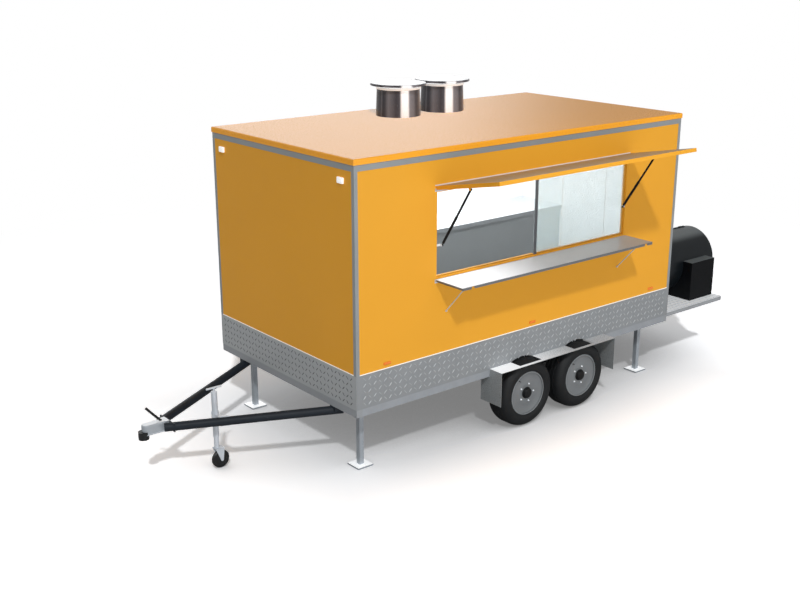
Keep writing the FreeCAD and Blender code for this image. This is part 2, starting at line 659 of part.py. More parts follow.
def jockey_tube():
    """Outer tube, capped at the top, on a saddle clamped behind the near drawbar tube."""
    top = vec(-JOCKEY_REACH, JOCKEY_Y, JOCKEY_TUBE_TOP)
    low = vec(-JOCKEY_REACH, JOCKEY_Y, JOCKEY_TUBE_BOTTOM)
    outer = tube(low, top, JOCKEY_TUBE_RADIUS, JOCKEY_TUBE_WALL)
    cap = rod(top - vec(0, 0, JOCKEY_TUBE_WALL), top, JOCKEY_TUBE_RADIUS)
    share = (DRAWBAR_NOSE - JOCKEY_REACH) / DRAWBAR_NOSE
    bar_y = MIDDLE - DRAWBAR_NOSE_HALF - (DRAWBAR_FOOT_HALF - DRAWBAR_NOSE_HALF) * share
    bar_z = DRAWBAR_NOSE_HEIGHT + (DRAWBAR_FOOT_HEIGHT - DRAWBAR_NOSE_HEIGHT) * share
    nose = vec(-DRAWBAR_NOSE, MIDDLE - DRAWBAR_NOSE_HALF, DRAWBAR_NOSE_HEIGHT)
    foot = vec(0, MIDDLE - DRAWBAR_FOOT_HALF, DRAWBAR_FOOT_HEIGHT)
    run = (foot - nose) / (foot - nose).Length
    middle = vec(-JOCKEY_REACH, bar_y, bar_z)
    half = run * (CLAMP_HEIGHT / 2)
    collar = tube(middle - half, middle + half, DRAWBAR_RADIUS + CLAMP_WALL + PIN_GAP, CLAMP_WALL)
    inner_side = prism([vec(nose.x, nose.y, 0), vec(foot.x, foot.y, 0), vec(foot.x, MIDDLE, 0),
                        vec(nose.x, MIDDLE, 0)], vec(0, 0, JOCKEY_TUBE_TOP))
    collar = collar.common(inner_side)
    arm_half = CLAMP_HEIGHT / 4
    arm = box(-JOCKEY_REACH - arm_half, -JOCKEY_REACH + arm_half, bar_y + DRAWBAR_RADIUS + CLAMP_WALL,
              JOCKEY_Y, bar_z - arm_half, bar_z + arm_half)
    sleeve = rod(vec(-JOCKEY_REACH, JOCKEY_Y, bar_z - CLAMP_HEIGHT / 2),
                 vec(-JOCKEY_REACH, JOCKEY_Y, bar_z + CLAMP_HEIGHT / 2), JOCKEY_TUBE_RADIUS + CLAMP_WALL)
    bore = rod(low, top - vec(0, 0, JOCKEY_TUBE_WALL), JOCKEY_TUBE_RADIUS - JOCKEY_TUBE_WALL)
    bar = rod(nose, foot, DRAWBAR_RADIUS + PIN_GAP)
    return fuse([outer, cap, collar, arm, sleeve]).cut(bore).cut(bar)


def jockey_handle():
    """T-handle on the winding spindle."""
    foot = vec(-JOCKEY_REACH, JOCKEY_Y, JOCKEY_TUBE_TOP)
    top = vec(-JOCKEY_REACH, JOCKEY_Y, T_HANDLE_HEIGHT)
    half = vec(T_HANDLE_LENGTH / 2, 0, 0)
    return fuse([rod(foot, top, T_HANDLE_RADIUS), rod(top - half, top + half, T_HANDLE_RADIUS)])


def jockey_leg_low():
    return JOCKEY_FORK_HEIGHT + JOCKEY_FORK_SHEET + PIN_GAP


def jockey_leg():
    """Inner leg that winds up into the outer tube, with the caster's pivot pin."""
    radius = JOCKEY_TUBE_RADIUS - JOCKEY_TUBE_WALL - PIN_GAP
    low = vec(-JOCKEY_REACH, JOCKEY_Y, jockey_leg_low())
    top = vec(-JOCKEY_REACH, JOCKEY_Y, JOCKEY_TUBE_TOP - JOCKEY_TUBE_WALL - JOCKEY_WIND_UP - CUT)
    pin = rod(low - vec(0, 0, JOCKEY_FORK_SHEET * 2 + PIN_GAP), low, JOCKEY_AXLE_RADIUS)
    return fuse([rod(low, top, radius), pin])


def jockey_fork():
    """Caster fork trailing behind the leg: bridge, two arms and the wheel's axle."""
    x = -JOCKEY_REACH
    hub_x = x + JOCKEY_TRAIL
    half = JOCKEY_WHEEL_WIDTH / 2 + CUT
    outer = half + JOCKEY_FORK_SHEET
    low = JOCKEY_FORK_HEIGHT
    bridge = box(x - JOCKEY_TUBE_RADIUS, hub_x + JOCKEY_TUBE_RADIUS, JOCKEY_Y - outer, JOCKEY_Y + outer,
                 low, low + JOCKEY_FORK_SHEET)
    arms = []
    for near in (JOCKEY_Y - outer, JOCKEY_Y + half):
        outline = [vec(x - JOCKEY_TUBE_RADIUS, near, low), vec(hub_x + JOCKEY_TUBE_RADIUS, near, low),
                   vec(hub_x + JOCKEY_TUBE_RADIUS / 2, near, JOCKEY_WHEEL_RADIUS),
                   vec(hub_x - JOCKEY_TUBE_RADIUS / 2, near, JOCKEY_WHEEL_RADIUS)]
        arms.append(prism(outline, vec(0, JOCKEY_FORK_SHEET, 0)))
        end = vec(hub_x, near, JOCKEY_WHEEL_RADIUS)
        arms.append(rod(end, end + vec(0, JOCKEY_FORK_SHEET, 0), JOCKEY_TUBE_RADIUS / 2))
    hub = vec(hub_x, JOCKEY_Y, JOCKEY_WHEEL_RADIUS)
    axle = rod(hub - vec(0, outer, 0), hub + vec(0, outer, 0), JOCKEY_AXLE_RADIUS)
    eye = rod(vec(x, JOCKEY_Y, low - CUT), vec(x, JOCKEY_Y, low + JOCKEY_FORK_SHEET + CUT),
              JOCKEY_AXLE_RADIUS + PIN_GAP)
    return fuse([bridge, axle] + arms).cut(eye)


def jockey_wheel():
    """Small solid wheel with a rounded tread and a bore for the fork's axle."""
    hub = vec(JOCKEY_TRAIL - JOCKEY_REACH, JOCKEY_Y, JOCKEY_WHEEL_RADIUS)
    half = JOCKEY_WHEEL_WIDTH / 2
    bore = JOCKEY_AXLE_RADIUS + PIN_GAP
    crown = JOCKEY_WHEEL_RADIUS
    shoulder = crown * 0.90
    side = [(bore, half), (crown * 0.55, half), (crown * 0.60, half * 0.85), (shoulder, half * 0.85),
            (crown, half * 0.45)]
    section = side + [(radius, -width) for radius, width in reversed(side)]
    return ring([hub + vec(0, width, radius) for radius, width in section], hub, ALONG_Y)


def leg_brackets():
    """Pairs of ears under the end rails, with the pins that the drop legs swing on."""
    brackets = []
    half = LEG_SIZE / 2 + PIN_GAP
    for place in LEG_PLACES:
        parts = []
        for low in (LEG_INSET_Y - half - LEG_EAR, LEG_INSET_Y + half):
            parts.append(box(place - LEG_EAR_WIDTH / 2, place + LEG_EAR_WIDTH / 2, low, low + LEG_EAR,
                             LEG_PIVOT_Z, CHASSIS_BOTTOM))
            parts.append(rod(vec(place, low, LEG_PIVOT_Z), vec(place, low + LEG_EAR, LEG_PIVOT_Z),
                             LEG_EAR_WIDTH / 2))
        parts.append(rod(vec(place, LEG_INSET_Y - half - LEG_EAR, LEG_PIVOT_Z),
                         vec(place, LEG_INSET_Y + half + LEG_EAR, LEG_PIVOT_Z), LEG_PIN_RADIUS))
        parts.append(box(place - LEG_EAR_WIDTH / 2, place + LEG_EAR_WIDTH / 2, LEG_INSET_Y - half - LEG_EAR,
                         LEG_INSET_Y + half + LEG_EAR, CHASSIS_BOTTOM - LEG_EAR, CHASSIS_BOTTOM))
        brackets.append(fuse(parts))
    return both_sides(brackets)


def drop_leg(place):
    """Square leg with a foot pad, rounded at the top where it swings on its pin."""
    half = LEG_SIZE / 2
    post = box(place - half, place + half, LEG_INSET_Y - half, LEG_INSET_Y + half, PAD_THICKNESS, LEG_PIVOT_Z)
    head = rod(vec(place, LEG_INSET_Y - half, LEG_PIVOT_Z), vec(place, LEG_INSET_Y + half, LEG_PIVOT_Z), half)
    pad = box(place - PAD_SIZE / 2, place + PAD_SIZE / 2, LEG_INSET_Y - PAD_SIZE / 2,
              LEG_INSET_Y + PAD_SIZE / 2, 0, PAD_THICKNESS)
    pivot = vec(place, LEG_INSET_Y, LEG_PIVOT_Z)
    reach = vec(0, half + CUT, 0)
    pin = rod(pivot - reach, pivot + reach, LEG_PIN_RADIUS + PIN_GAP)
    return fuse([post, head, pad]).cut(pin)


def floor():
    """Floor board between the walls, cut for the wheel boxes."""
    board = box(WALL, INSIDE_REAR, WALL, INSIDE_FAR, RAIL_TOP, FLOOR_TOP)
    return board.cut(well_cutout()).cut(across(well_cutout()))


def front_wall():
    return box(0, WALL, 0, BODY_WIDTH, RAIL_TOP, WALL_TOP)


def door_space(margin):
    """The doorway, made larger or smaller all round by a margin."""
    return (DOOR_NEAR - margin, DOOR_FAR + margin, DOOR_SILL - margin, DOOR_HEAD + margin)


def rear_wall():
    """Rear wall with the doorway cut through it."""
    wall = box(INSIDE_REAR, BODY_LENGTH, 0, BODY_WIDTH, RAIL_TOP, WALL_TOP)
    near, far, sill, head = door_space(DOOR_GAP)
    return wall.cut(box(INSIDE_REAR - CUT, BODY_LENGTH + CUT, near, far, sill, head))


def plain_wall():
    """Wall away from the serving side, arched over the tyres."""
    wall = box(WALL, INSIDE_REAR, INSIDE_FAR, BODY_WIDTH, RAIL_TOP, WALL_TOP)
    return wall.cut(across(crown_space(-CUT)))


def service_wall():
    """Serving wall with its window opening, arched over the tyres."""
    wall = box(WALL, INSIDE_REAR, 0, WALL, RAIL_TOP, WALL_TOP)
    opening = box(WINDOW_FRONT, WINDOW_REAR, -CUT, WALL + CUT, WINDOW_SILL, WINDOW_HEAD)
    return wall.cut(opening).cut(crown_space(-CUT))


def roof_panel():
    """Roof slab with a small overhang and a rounded edge."""
    slab = box(-ROOF_OVERHANG, BODY_LENGTH + ROOF_OVERHANG, -ROOF_OVERHANG, BODY_WIDTH + ROOF_OVERHANG,
               WALL_TOP, ROOF_TOP)
    edges = [edge for edge in slab.Edges if edge.BoundBox.ZMin > WALL_TOP]
    return slab.makeFillet(ROOF_EDGE_RADIUS, edges)


def skin_ring(low, high):
    """Thin sheet all round the walls between two levels."""
    outside = box(-SKIN, BODY_LENGTH + SKIN, -SKIN, BODY_WIDTH + SKIN, low, high)
    return outside.cut(box(0, BODY_LENGTH, 0, BODY_WIDTH, low - CUT, high + CUT))


def roof_band():
    return skin_ring(WALL_TOP - BAND_HEIGHT, WALL_TOP)


def kick_plates():
    """Checker sheets round the foot of the walls, arched over the tyres and cut at the doorway."""
    sheets = skin_ring(RAIL_TOP, KICK_TOP)
    near, far, sill, head = door_space(DOOR_GAP)
    doorway = box(BODY_LENGTH - CUT, BODY_LENGTH + CUT, near, far, sill, head)
    return sheets.cut(doorway).cut(crown_space(-CUT)).cut(across(crown_space(-CUT)))


def corner_posts():
    """Angle strip on each upright corner between kick plates and roof band."""
    posts = skin_ring(KICK_TOP, WALL_TOP - BAND_HEIGHT)
    along = box(POST_WIDTH, BODY_LENGTH - POST_WIDTH, -CUT - SKIN, BODY_WIDTH + CUT + SKIN,
                KICK_TOP - CUT, WALL_TOP)
    over = box(-CUT - SKIN, BODY_LENGTH + CUT + SKIN, POST_WIDTH, BODY_WIDTH - POST_WIDTH,
               KICK_TOP - CUT, WALL_TOP)
    return posts.cut(along).cut(over)


def window_frame():
    """Track frame at the wall's inner edge with two grooves and a mullion."""
    near = WALL - TRACK_DEPTH
    outside = box(WINDOW_FRONT, WINDOW_REAR, near, WALL, WINDOW_SILL, WINDOW_HEAD)
    inside = box(WINDOW_FRONT + TRACK_FACE, WINDOW_REAR - TRACK_FACE, near - CUT, WALL + CUT,
                 WINDOW_SILL + TRACK_FACE, WINDOW_HEAD - TRACK_FACE)
    mullion = box(MULLION_PLACE - MULLION_WIDTH / 2, MULLION_PLACE + MULLION_WIDTH / 2, near,
                  near + GLASS + GLASS, WINDOW_SILL + TRACK_FACE, WINDOW_HEAD - TRACK_FACE)
    return fuse([outside.cut(inside), mullion])


def window_glass():
    """Fixed pane behind the mullion and the sliding pane stacked inside it."""
    fixed_low = WALL - TRACK_DEPTH + GLASS + GLASS
    slide_low = fixed_low + GLASS + PIN_GAP
    low_z = WINDOW_SILL + TRACK_FACE
    high_z = WINDOW_HEAD - TRACK_FACE
    fixed = box(MULLION_PLACE - MULLION_WIDTH / 2, WINDOW_REAR - TRACK_FACE, fixed_low,
                fixed_low + GLASS - PIN_GAP, low_z, high_z)
    sliding = box(MULLION_PLACE, WINDOW_REAR - TRACK_FACE - TRACK_FACE, slide_low, slide_low + GLASS,
                  low_z, high_z)
    return [fixed, sliding]


def open_hatch(shape):
    """Swings a piece modelled on the closed hatch up to its rest angle."""
    return turned(shape, vec(0, HINGE_Y, HINGE_Z), ALONG_X, -(90 + HATCH_TILT))


def knuckles(start, end, radius, pin_radius, first):
    """Every second knuckle of a long hinge along the line from start to end, bored for its pin."""
    run = end - start
    count = max(2, round(run.Length / HINGE_STEP))
    step = run / count
    gap = run / run.Length * KNUCKLE_GAP
    rings = []
    for index in range(first, count, 2):
        low = start + step * index + gap
        high = start + step * (index + 1) - gap
        rings.append(tube(low, high, radius, radius - pin_radius - HINGE_PIN_GAP))
    return rings


def knuckle_spans(start, end, first):
    """The stretches that every second knuckle takes between two places."""
    count = max(2, round((end - start) / HINGE_STEP))
    step = (end - start) / count
    return [(start + step * index + KNUCKLE_GAP, start + step * (index + 1) - KNUCKLE_GAP)
            for index in range(first, count, 2)]


def hatch_fixed_leaf():
    """Hinge leaf on the wall over the window, with every second knuckle."""
    radius = HINGE_KNUCKLE_RADIUS
    leaf = box(HATCH_FRONT, HATCH_REAR, -HINGE_LEAF, 0, WINDOW_HEAD + HINGE_LEAF, HINGE_Z + radius)
    webs = [box(low, high, HINGE_Y, -HINGE_LEAF, HINGE_Z, HINGE_Z + radius)
            for low, high in knuckle_spans(HATCH_FRONT, HATCH_REAR, 0)]
    axis = (vec(HATCH_FRONT, HINGE_Y, HINGE_Z), vec(HATCH_REAR, HINGE_Y, HINGE_Z))
    bore = rod(axis[0], axis[1], HINGE_PIN_RADIUS + HINGE_PIN_GAP)
    return fuse([leaf] + webs + knuckles(axis[0], axis[1], radius, HINGE_PIN_RADIUS, 0)).cut(bore)


def hatch_inner_face():
    return HINGE_Y + HINGE_LEAF + KNUCKLE_GAP


def hatch_panel():
    """Hatch slab, recessed underneath inside its border, with a tab and pin for each strut."""
    inner = hatch_inner_face()
    outer = inner - HATCH_THICKNESS
    top = HINGE_Z - HINGE_KNUCKLE_RADIUS - HINGE_PIN_GAP
    bottom = HINGE_Z - HATCH_LENGTH
    slab = box(HATCH_FRONT, HATCH_REAR, outer, inner, bottom, top)
    recess = box(HATCH_FRONT + HATCH_BORDER, HATCH_REAR - HATCH_BORDER, outer + HATCH_SKIN, inner + CUT,
                 bottom + HATCH_BORDER, top - HATCH_BORDER)
    rebate = box(HATCH_FRONT - CUT, HATCH_REAR + CUT, inner - HINGE_LEAF, inner + CUT,
                 top - HINGE_LEAF_WIDTH, top + CUT)
    shapes = [slab.cut(recess).cut(rebate)]
    head = vec(0, HINGE_Y + STRUT_HEAD_DROP, HINGE_Z - STRUT_HEAD_PLACE)
    for place, sign in zip(STRUT_PLACES, (-1, 1)):
        near = place + sign * (STRUT_TUBE_RADIUS + PIN_GAP)
        far = near + sign * BRACKET_SHEET
        low, high = min(near, far), max(near, far)
        shapes.append(box(low, high, outer + HATCH_SKIN, head.y, head.z - STRUT_EYE_RADIUS,
                          head.z + STRUT_EYE_RADIUS))
        shapes.append(rod(vec(low, head.y, head.z), vec(high, head.y, head.z), STRUT_EYE_RADIUS))
        shapes.append(rod(vec(near, head.y, head.z),
                          vec(place - sign * STRUT_TUBE_RADIUS, head.y, head.z), STRUT_STUD_RADIUS))
    return open_hatch(fuse(shapes))


def hatch_leaf():
    """Moving hinge leaf let into the hatch, with its knuckles and the long pin."""
    inner = hatch_inner_face()
    top = HINGE_Z - HINGE_KNUCKLE_RADIUS - HINGE_PIN_GAP
    leaf = box(HATCH_FRONT, HATCH_REAR, inner - HINGE_LEAF, inner, top - HINGE_LEAF_WIDTH, top)
    webs = [box(low, high, inner - HINGE_LEAF, inner, top - PIN_GAP, HINGE_Z)
            for low, high in knuckle_spans(HATCH_FRONT, HATCH_REAR, 1)]
    axis = (vec(HATCH_FRONT, HINGE_Y, HINGE_Z), vec(HATCH_REAR, HINGE_Y, HINGE_Z))
    rings = [rod(vec(low, HINGE_Y, HINGE_Z), vec(high, HINGE_Y, HINGE_Z), HINGE_KNUCKLE_RADIUS)
             for low, high in knuckle_spans(HATCH_FRONT, HATCH_REAR, 1)]
    pin = rod(axis[0], axis[1], HINGE_PIN_RADIUS)
    return open_hatch(fuse([leaf, pin] + webs + rings))


def strut_head():
    """Where a strut's tube is pinned to the open hatch."""
    tilt = math.radians(HATCH_TILT)
    along = vec(0, -math.cos(tilt), math.sin(tilt))
    under = vec(0, -math.sin(tilt), -math.cos(tilt))
    return vec(0, HINGE_Y, HINGE_Z) + along * STRUT_HEAD_PLACE + under * STRUT_HEAD_DROP


def strut_foot():
    return vec(0, -STRUT_FOOT_PROUD, STRUT_FOOT_HEIGHT)


def strut_tubes():
    """Gas strut bodies, each with an eye on the hatch's pin."""
    head = strut_head()
    run = (strut_foot() - head) / (strut_foot() - head).Length
    bore_radius = STRUT_ROD_RADIUS + PIN_GAP
    tubes = []
    for place in STRUT_PLACES:
        eye_centre = head + vec(place, 0, 0)
        half = vec(STRUT_EYE_HALF, 0, 0)
        eye = rod(eye_centre - half, eye_centre + half, STRUT_EYE_RADIUS)
        neck = STRUT_EYE_RADIUS * 0.7
        body = rod(eye_centre + run * neck, eye_centre + run * STRUT_TUBE_LENGTH, STRUT_TUBE_RADIUS)
        bore = rod(eye_centre + run * (STRUT_EYE_RADIUS + STRUT_TUBE_WALL),
                   eye_centre + run * (STRUT_TUBE_LENGTH + CUT), bore_radius)
        pin = rod(eye_centre - half - half, eye_centre + half + half, STRUT_STUD_RADIUS + PIN_GAP)
        tubes.append(fuse([eye, body]).cut(bore).cut(pin))
    return tubes


def strut_rods():
    """Gas strut rods, each with an eye and a stud that meets its bracket on the jamb."""
    head = strut_head()
    foot = strut_foot()
    run = (foot - head) / (foot - head).Length
    inner = STRUT_TRAVEL + STRUT_EYE_RADIUS + STRUT_TUBE_WALL + PIN_GAP
    rods = []
    for place, sign in zip(STRUT_PLACES, (-1, 1)):
        start = head + vec(place, 0, 0) + run * inner
        end = foot + vec(place, 0, 0)
        half = vec(STRUT_EYE_HALF, 0, 0)
        eye = rod(end - half, end + half, STRUT_EYE_RADIUS)
        stud = rod(end, end + vec(sign * (STRUT_TUBE_RADIUS - PIN_GAP), 0, 0), STRUT_STUD_RADIUS)
        rods.append(fuse([rod(start, end, STRUT_ROD_RADIUS), eye, stud]))
    return rods


def pivot_brackets():
    """Strut brackets on the window's jambs and stay brackets on the wall below the shelf."""
    brackets = []
    foot = strut_foot()
    radius = STRUT_EYE_RADIUS
    for place, sign, jamb in zip(STRUT_PLACES, (-1, 1), (WINDOW_FRONT, WINDOW_REAR)):
        near = place + sign * (STRUT_TUBE_RADIUS + PIN_GAP)
        far = near + sign * BRACKET_SHEET
        low, high = min(near, far), max(near, far)
        arm = box(low, high, foot.y, radius, foot.z - radius, foot.z + radius)
        end = rod(vec(low, foot.y, foot.z), vec(high, foot.y, foot.z), radius)
        foot_plate = box(min(far, jamb), max(far, jamb), radius - BRACKET_SHEET, radius,
                         foot.z - radius, foot.z + radius)
        tie = box(min(far - sign * BRACKET_SHEET, far), max(far - sign * BRACKET_SHEET, far),
                  radius - BRACKET_SHEET, radius, foot.z - radius, foot.z + radius)
        brackets.append(fuse([arm, end, foot_plate, tie]))
    brackets += [stay_bracket(place) for place in STAY_PLACES]
    return brackets


def stay_bracket(place):
    """Wall plate with a pin on which one shelf stay swings."""
    low = place + STAY_RADIUS + PIN_GAP
    ear = box(low, low + BRACKET_SHEET, -STAY_FOOT_GAP, 0, STAY_FOOT_HEIGHT - STAY_EAR_RADIUS,
              STAY_FOOT_HEIGHT + STAY_EAR_RADIUS)
    end = rod(vec(low, -STAY_FOOT_GAP, STAY_FOOT_HEIGHT),
              vec(low + BRACKET_SHEET, -STAY_FOOT_GAP, STAY_FOOT_HEIGHT), STAY_EAR_RADIUS)
    pin = rod(vec(place - STAY_RADIUS, -STAY_FOOT_GAP, STAY_FOOT_HEIGHT),
              vec(low, -STAY_FOOT_GAP, STAY_FOOT_HEIGHT), STAY_RADIUS / 2)
    return fuse([ear, end, pin])


def shelf_fixed_leaf():
    """Hinge leaf on the wall under the window for the shelf."""
    radius = HINGE_KNUCKLE_RADIUS
    top = SHELF_HINGE_Z + radius
    leaf = box(SHELF_FRONT, SHELF_REAR, -HINGE_LEAF, 0, SHELF_HINGE_Z - HINGE_LEAF_WIDTH, top)
    webs = [box(low, high, SHELF_HINGE_Y, -HINGE_LEAF, SHELF_HINGE_Z - HINGE_LEAF, SHELF_HINGE_Z)
            for low, high in knuckle_spans(SHELF_FRONT, SHELF_REAR, 0)]
    axis = (vec(SHELF_FRONT, SHELF_HINGE_Y, SHELF_HINGE_Z), vec(SHELF_REAR, SHELF_HINGE_Y, SHELF_HINGE_Z))
    bore = rod(axis[0], axis[1], HINGE_PIN_RADIUS + HINGE_PIN_GAP)
    return fuse([leaf] + webs + knuckles(axis[0], axis[1], radius, HINGE_PIN_RADIUS, 0)).cut(bore)


def shelf_panel():
    """Folded steel shelf with lips under three edges, and its hinge knuckles and pin."""
    back = SHELF_HINGE_Y
    front = back - SHELF_DEPTH
    low = SHELF_TOP - SHELF_LIP
    under = SHELF_TOP - SHELF_SHEET
    lip_back = back - HINGE_KNUCKLE_RADIUS - KNUCKLE_GAP
    plate = box(SHELF_FRONT, SHELF_REAR, front, back, under, SHELF_TOP)
    shapes = [plate, box(SHELF_FRONT, SHELF_REAR, front, front + SHELF_SHEET, low, under),
              box(SHELF_FRONT, SHELF_FRONT + SHELF_SHEET, front, lip_back, low, under),
              box(SHELF_REAR - SHELF_SHEET, SHELF_REAR, front, lip_back, low, under)]
    axis_low = vec(SHELF_FRONT, back, SHELF_HINGE_Z)
    axis_high = vec(SHELF_REAR, back, SHELF_HINGE_Z)
    for start, end in knuckle_spans(SHELF_FRONT, SHELF_REAR, 1):
        shapes.append(rod(vec(start, back, SHELF_HINGE_Z), vec(end, back, SHELF_HINGE_Z),
                          HINGE_KNUCKLE_RADIUS))
        shapes.append(box(start, end, back - HINGE_KNUCKLE_RADIUS, back, SHELF_HINGE_Z, under))
    shelf = fuse(shapes + [rod(axis_low, axis_high, HINGE_PIN_RADIUS)])
    for place in STAY_PLACES:
        shelf = shelf.cut(box(place - STAY_NOTCH, place + STAY_NOTCH, front - CUT, front + SHELF_SHEET + CUT,
                              low - CUT, under))
    return shelf


def shelf_stays():
    """Thin stays from the wall up to the underside of the shelf."""
    stays = []
    foot = vec(0, -STAY_FOOT_GAP, STAY_FOOT_HEIGHT)
    tip_radius = STAY_RADIUS * 1.2
    tip = vec(0, -STAY_HEAD_REACH, SHELF_TOP - SHELF_SHEET - tip_radius - PIN_GAP)
    for place in STAY_PLACES:
        start = foot + vec(place, 0, 0)
        end = tip + vec(place, 0, 0)
        half = vec(STAY_RADIUS * 0.8, 0, 0)
        eye = rod(start - half, start + half, STAY_EAR_RADIUS)
        ball = Part.makeSphere(tip_radius, end)
        stay = fuse([rod(start, end, STAY_RADIUS), eye, ball])
        stays.append(stay.cut(rod(start - half - half, start + half + half, STAY_RADIUS / 2 + PIN_GAP)))
    return stays


def door_hinge_places():
    return [DOOR_SILL + (DOOR_HEAD - DOOR_SILL) * share for share in DOOR_HINGE_SHARES]


def door_fixed_hinges():
    """Strap and two outer knuckles of each door hinge, on the rear wall."""
    hinges = []
    for middle in door_hinge_places():
        half = DOOR_HINGE_LENGTH / 2
        third = DOOR_HINGE_LENGTH / 3
        web_near = DOOR_HINGE_Y + HINGE_PIN_RADIUS + PIN_GAP
        shapes = [box(BODY_LENGTH, BODY_LENGTH + HINGE_LEAF, web_near, DOOR_FAR + DOOR_HINGE_LENGTH / 2,
                      middle - half, middle + half)]
        for low, high in ((middle - half, middle - half + third), (middle + half - third, middle + half)):
            bottom = vec(DOOR_HINGE_X, DOOR_HINGE_Y, low)
            top = vec(DOOR_HINGE_X, DOOR_HINGE_Y, high)
            shapes.append(tube(bottom, top, HINGE_KNUCKLE_RADIUS,
                               HINGE_KNUCKLE_RADIUS - HINGE_PIN_RADIUS - PIN_GAP))
            shapes.append(box(BODY_LENGTH, DOOR_HINGE_X, web_near, DOOR_HINGE_Y + HINGE_KNUCKLE_RADIUS,
                              low, high))
        hinges.append(fuse(shapes))
    return hinges


def door_leaf():
    """Flush door as thick as the wall, its foot plate, middle hinge knuckles with pins, and a pull."""
    panel = box(INSIDE_REAR, BODY_LENGTH, DOOR_NEAR, DOOR_FAR, DOOR_SILL, DOOR_HEAD)
    kick = box(BODY_LENGTH, BODY_LENGTH + SKIN, DOOR_NEAR, DOOR_FAR, DOOR_SILL, KICK_TOP)
    shapes = [panel, kick]
    for middle in door_hinge_places():
        half = DOOR_HINGE_LENGTH / 2
        sixth = DOOR_HINGE_LENGTH / 6 - KNUCKLE_GAP
        pivot = vec(DOOR_HINGE_X, DOOR_HINGE_Y, middle)
        shapes.append(rod(pivot - vec(0, 0, sixth), pivot + vec(0, 0, sixth), HINGE_KNUCKLE_RADIUS))
        shapes.append(rod(pivot - vec(0, 0, half), pivot + vec(0, 0, half), HINGE_PIN_RADIUS))
        shapes.append(box(BODY_LENGTH, DOOR_HINGE_X, DOOR_HINGE_Y - HINGE_KNUCKLE_RADIUS - PIN_GAP,
                          DOOR_HINGE_Y - HINGE_PIN_RADIUS, middle - sixth, middle + sixth))
        shapes.append(box(BODY_LENGTH, BODY_LENGTH + HINGE_LEAF, DOOR_FAR - DOOR_HINGE_LENGTH / 3,
                          DOOR_HINGE_Y - HINGE_PIN_RADIUS, middle - half, middle + half))
    pull_z = DOOR_SILL + (DOOR_HEAD - DOOR_SILL) * 0.48
    pull_y = DOOR_NEAR + DOOR_HINGE_LENGTH * 0.8
    stand = BODY_LENGTH + LID_HANDLE_STAND
    low = vec(stand, pull_y, pull_z - DOOR_HINGE_LENGTH)
    high = vec(stand, pull_y, pull_z + DOOR_HINGE_LENGTH)
    shapes.append(rod(low, high, LID_HANDLE_RADIUS))
    for end in (low, high):
        shapes.append(rod(vec(BODY_LENGTH, pull_y, end.z), end, LID_HANDLE_RADIUS))
        shapes.append(Part.makeSphere(LID_HANDLE_RADIUS, end))
    return fuse(shapes)


def counter_cabinet():
    """Back counter's cabinet: front, ends and a recessed plinth, open to the wall."""
    top = FLOOR_TOP + COUNTER_HEIGHT - COUNTER_TOP_THICKNESS
    near = COUNTER_EDGE + COUNTER_OVERHANG
    whole = box(COUNTER_FRONT, INSIDE_REAR, near, INSIDE_FAR, FLOOR_TOP + COUNTER_PLINTH, top)
    plinth = box(COUNTER_FRONT + COUNTER_OVERHANG, INSIDE_REAR, near + COUNTER_PLINTH, INSIDE_FAR, FLOOR_TOP,
                 FLOOR_TOP + COUNTER_PLINTH)
    hollow = box(COUNTER_FRONT + COUNTER_SHEET + COUNTER_OVERHANG, INSIDE_REAR - COUNTER_SHEET,
                 near + COUNTER_SHEET + COUNTER_PLINTH, INSIDE_FAR + CUT, FLOOR_TOP - CUT,
                 top - COUNTER_SHEET)
    upper = box(COUNTER_FRONT + COUNTER_SHEET, INSIDE_REAR - COUNTER_SHEET, near + COUNTER_SHEET,
                INSIDE_FAR + CUT, FLOOR_TOP + COUNTER_PLINTH + COUNTER_SHEET, top - COUNTER_SHEET)
    over_box = box(COUNTER_FRONT - CUT, INSIDE_REAR + CUT, well_inner_y(), INSIDE_FAR + CUT, FLOOR_TOP - CUT,
                   FLOOR_TOP + WHEEL_BOX_HEIGHT + PIN_GAP)
    well = over_box.common(box(FENDER_FRONT - PIN_GAP, FENDER_REAR + PIN_GAP, 0, BODY_WIDTH, 0, ROOF_TOP))
    return fuse([whole, plinth]).cut(hollow).cut(upper).cut(well)


def well_inner_y():
    return BODY_WIDTH - MAIN_RAIL_NEAR


def counter_top():
    top = FLOOR_TOP + COUNTER_HEIGHT
    return box(COUNTER_FRONT - COUNTER_OVERHANG, INSIDE_REAR, COUNTER_EDGE, INSIDE_FAR,
               top - COUNTER_TOP_THICKNESS, top)


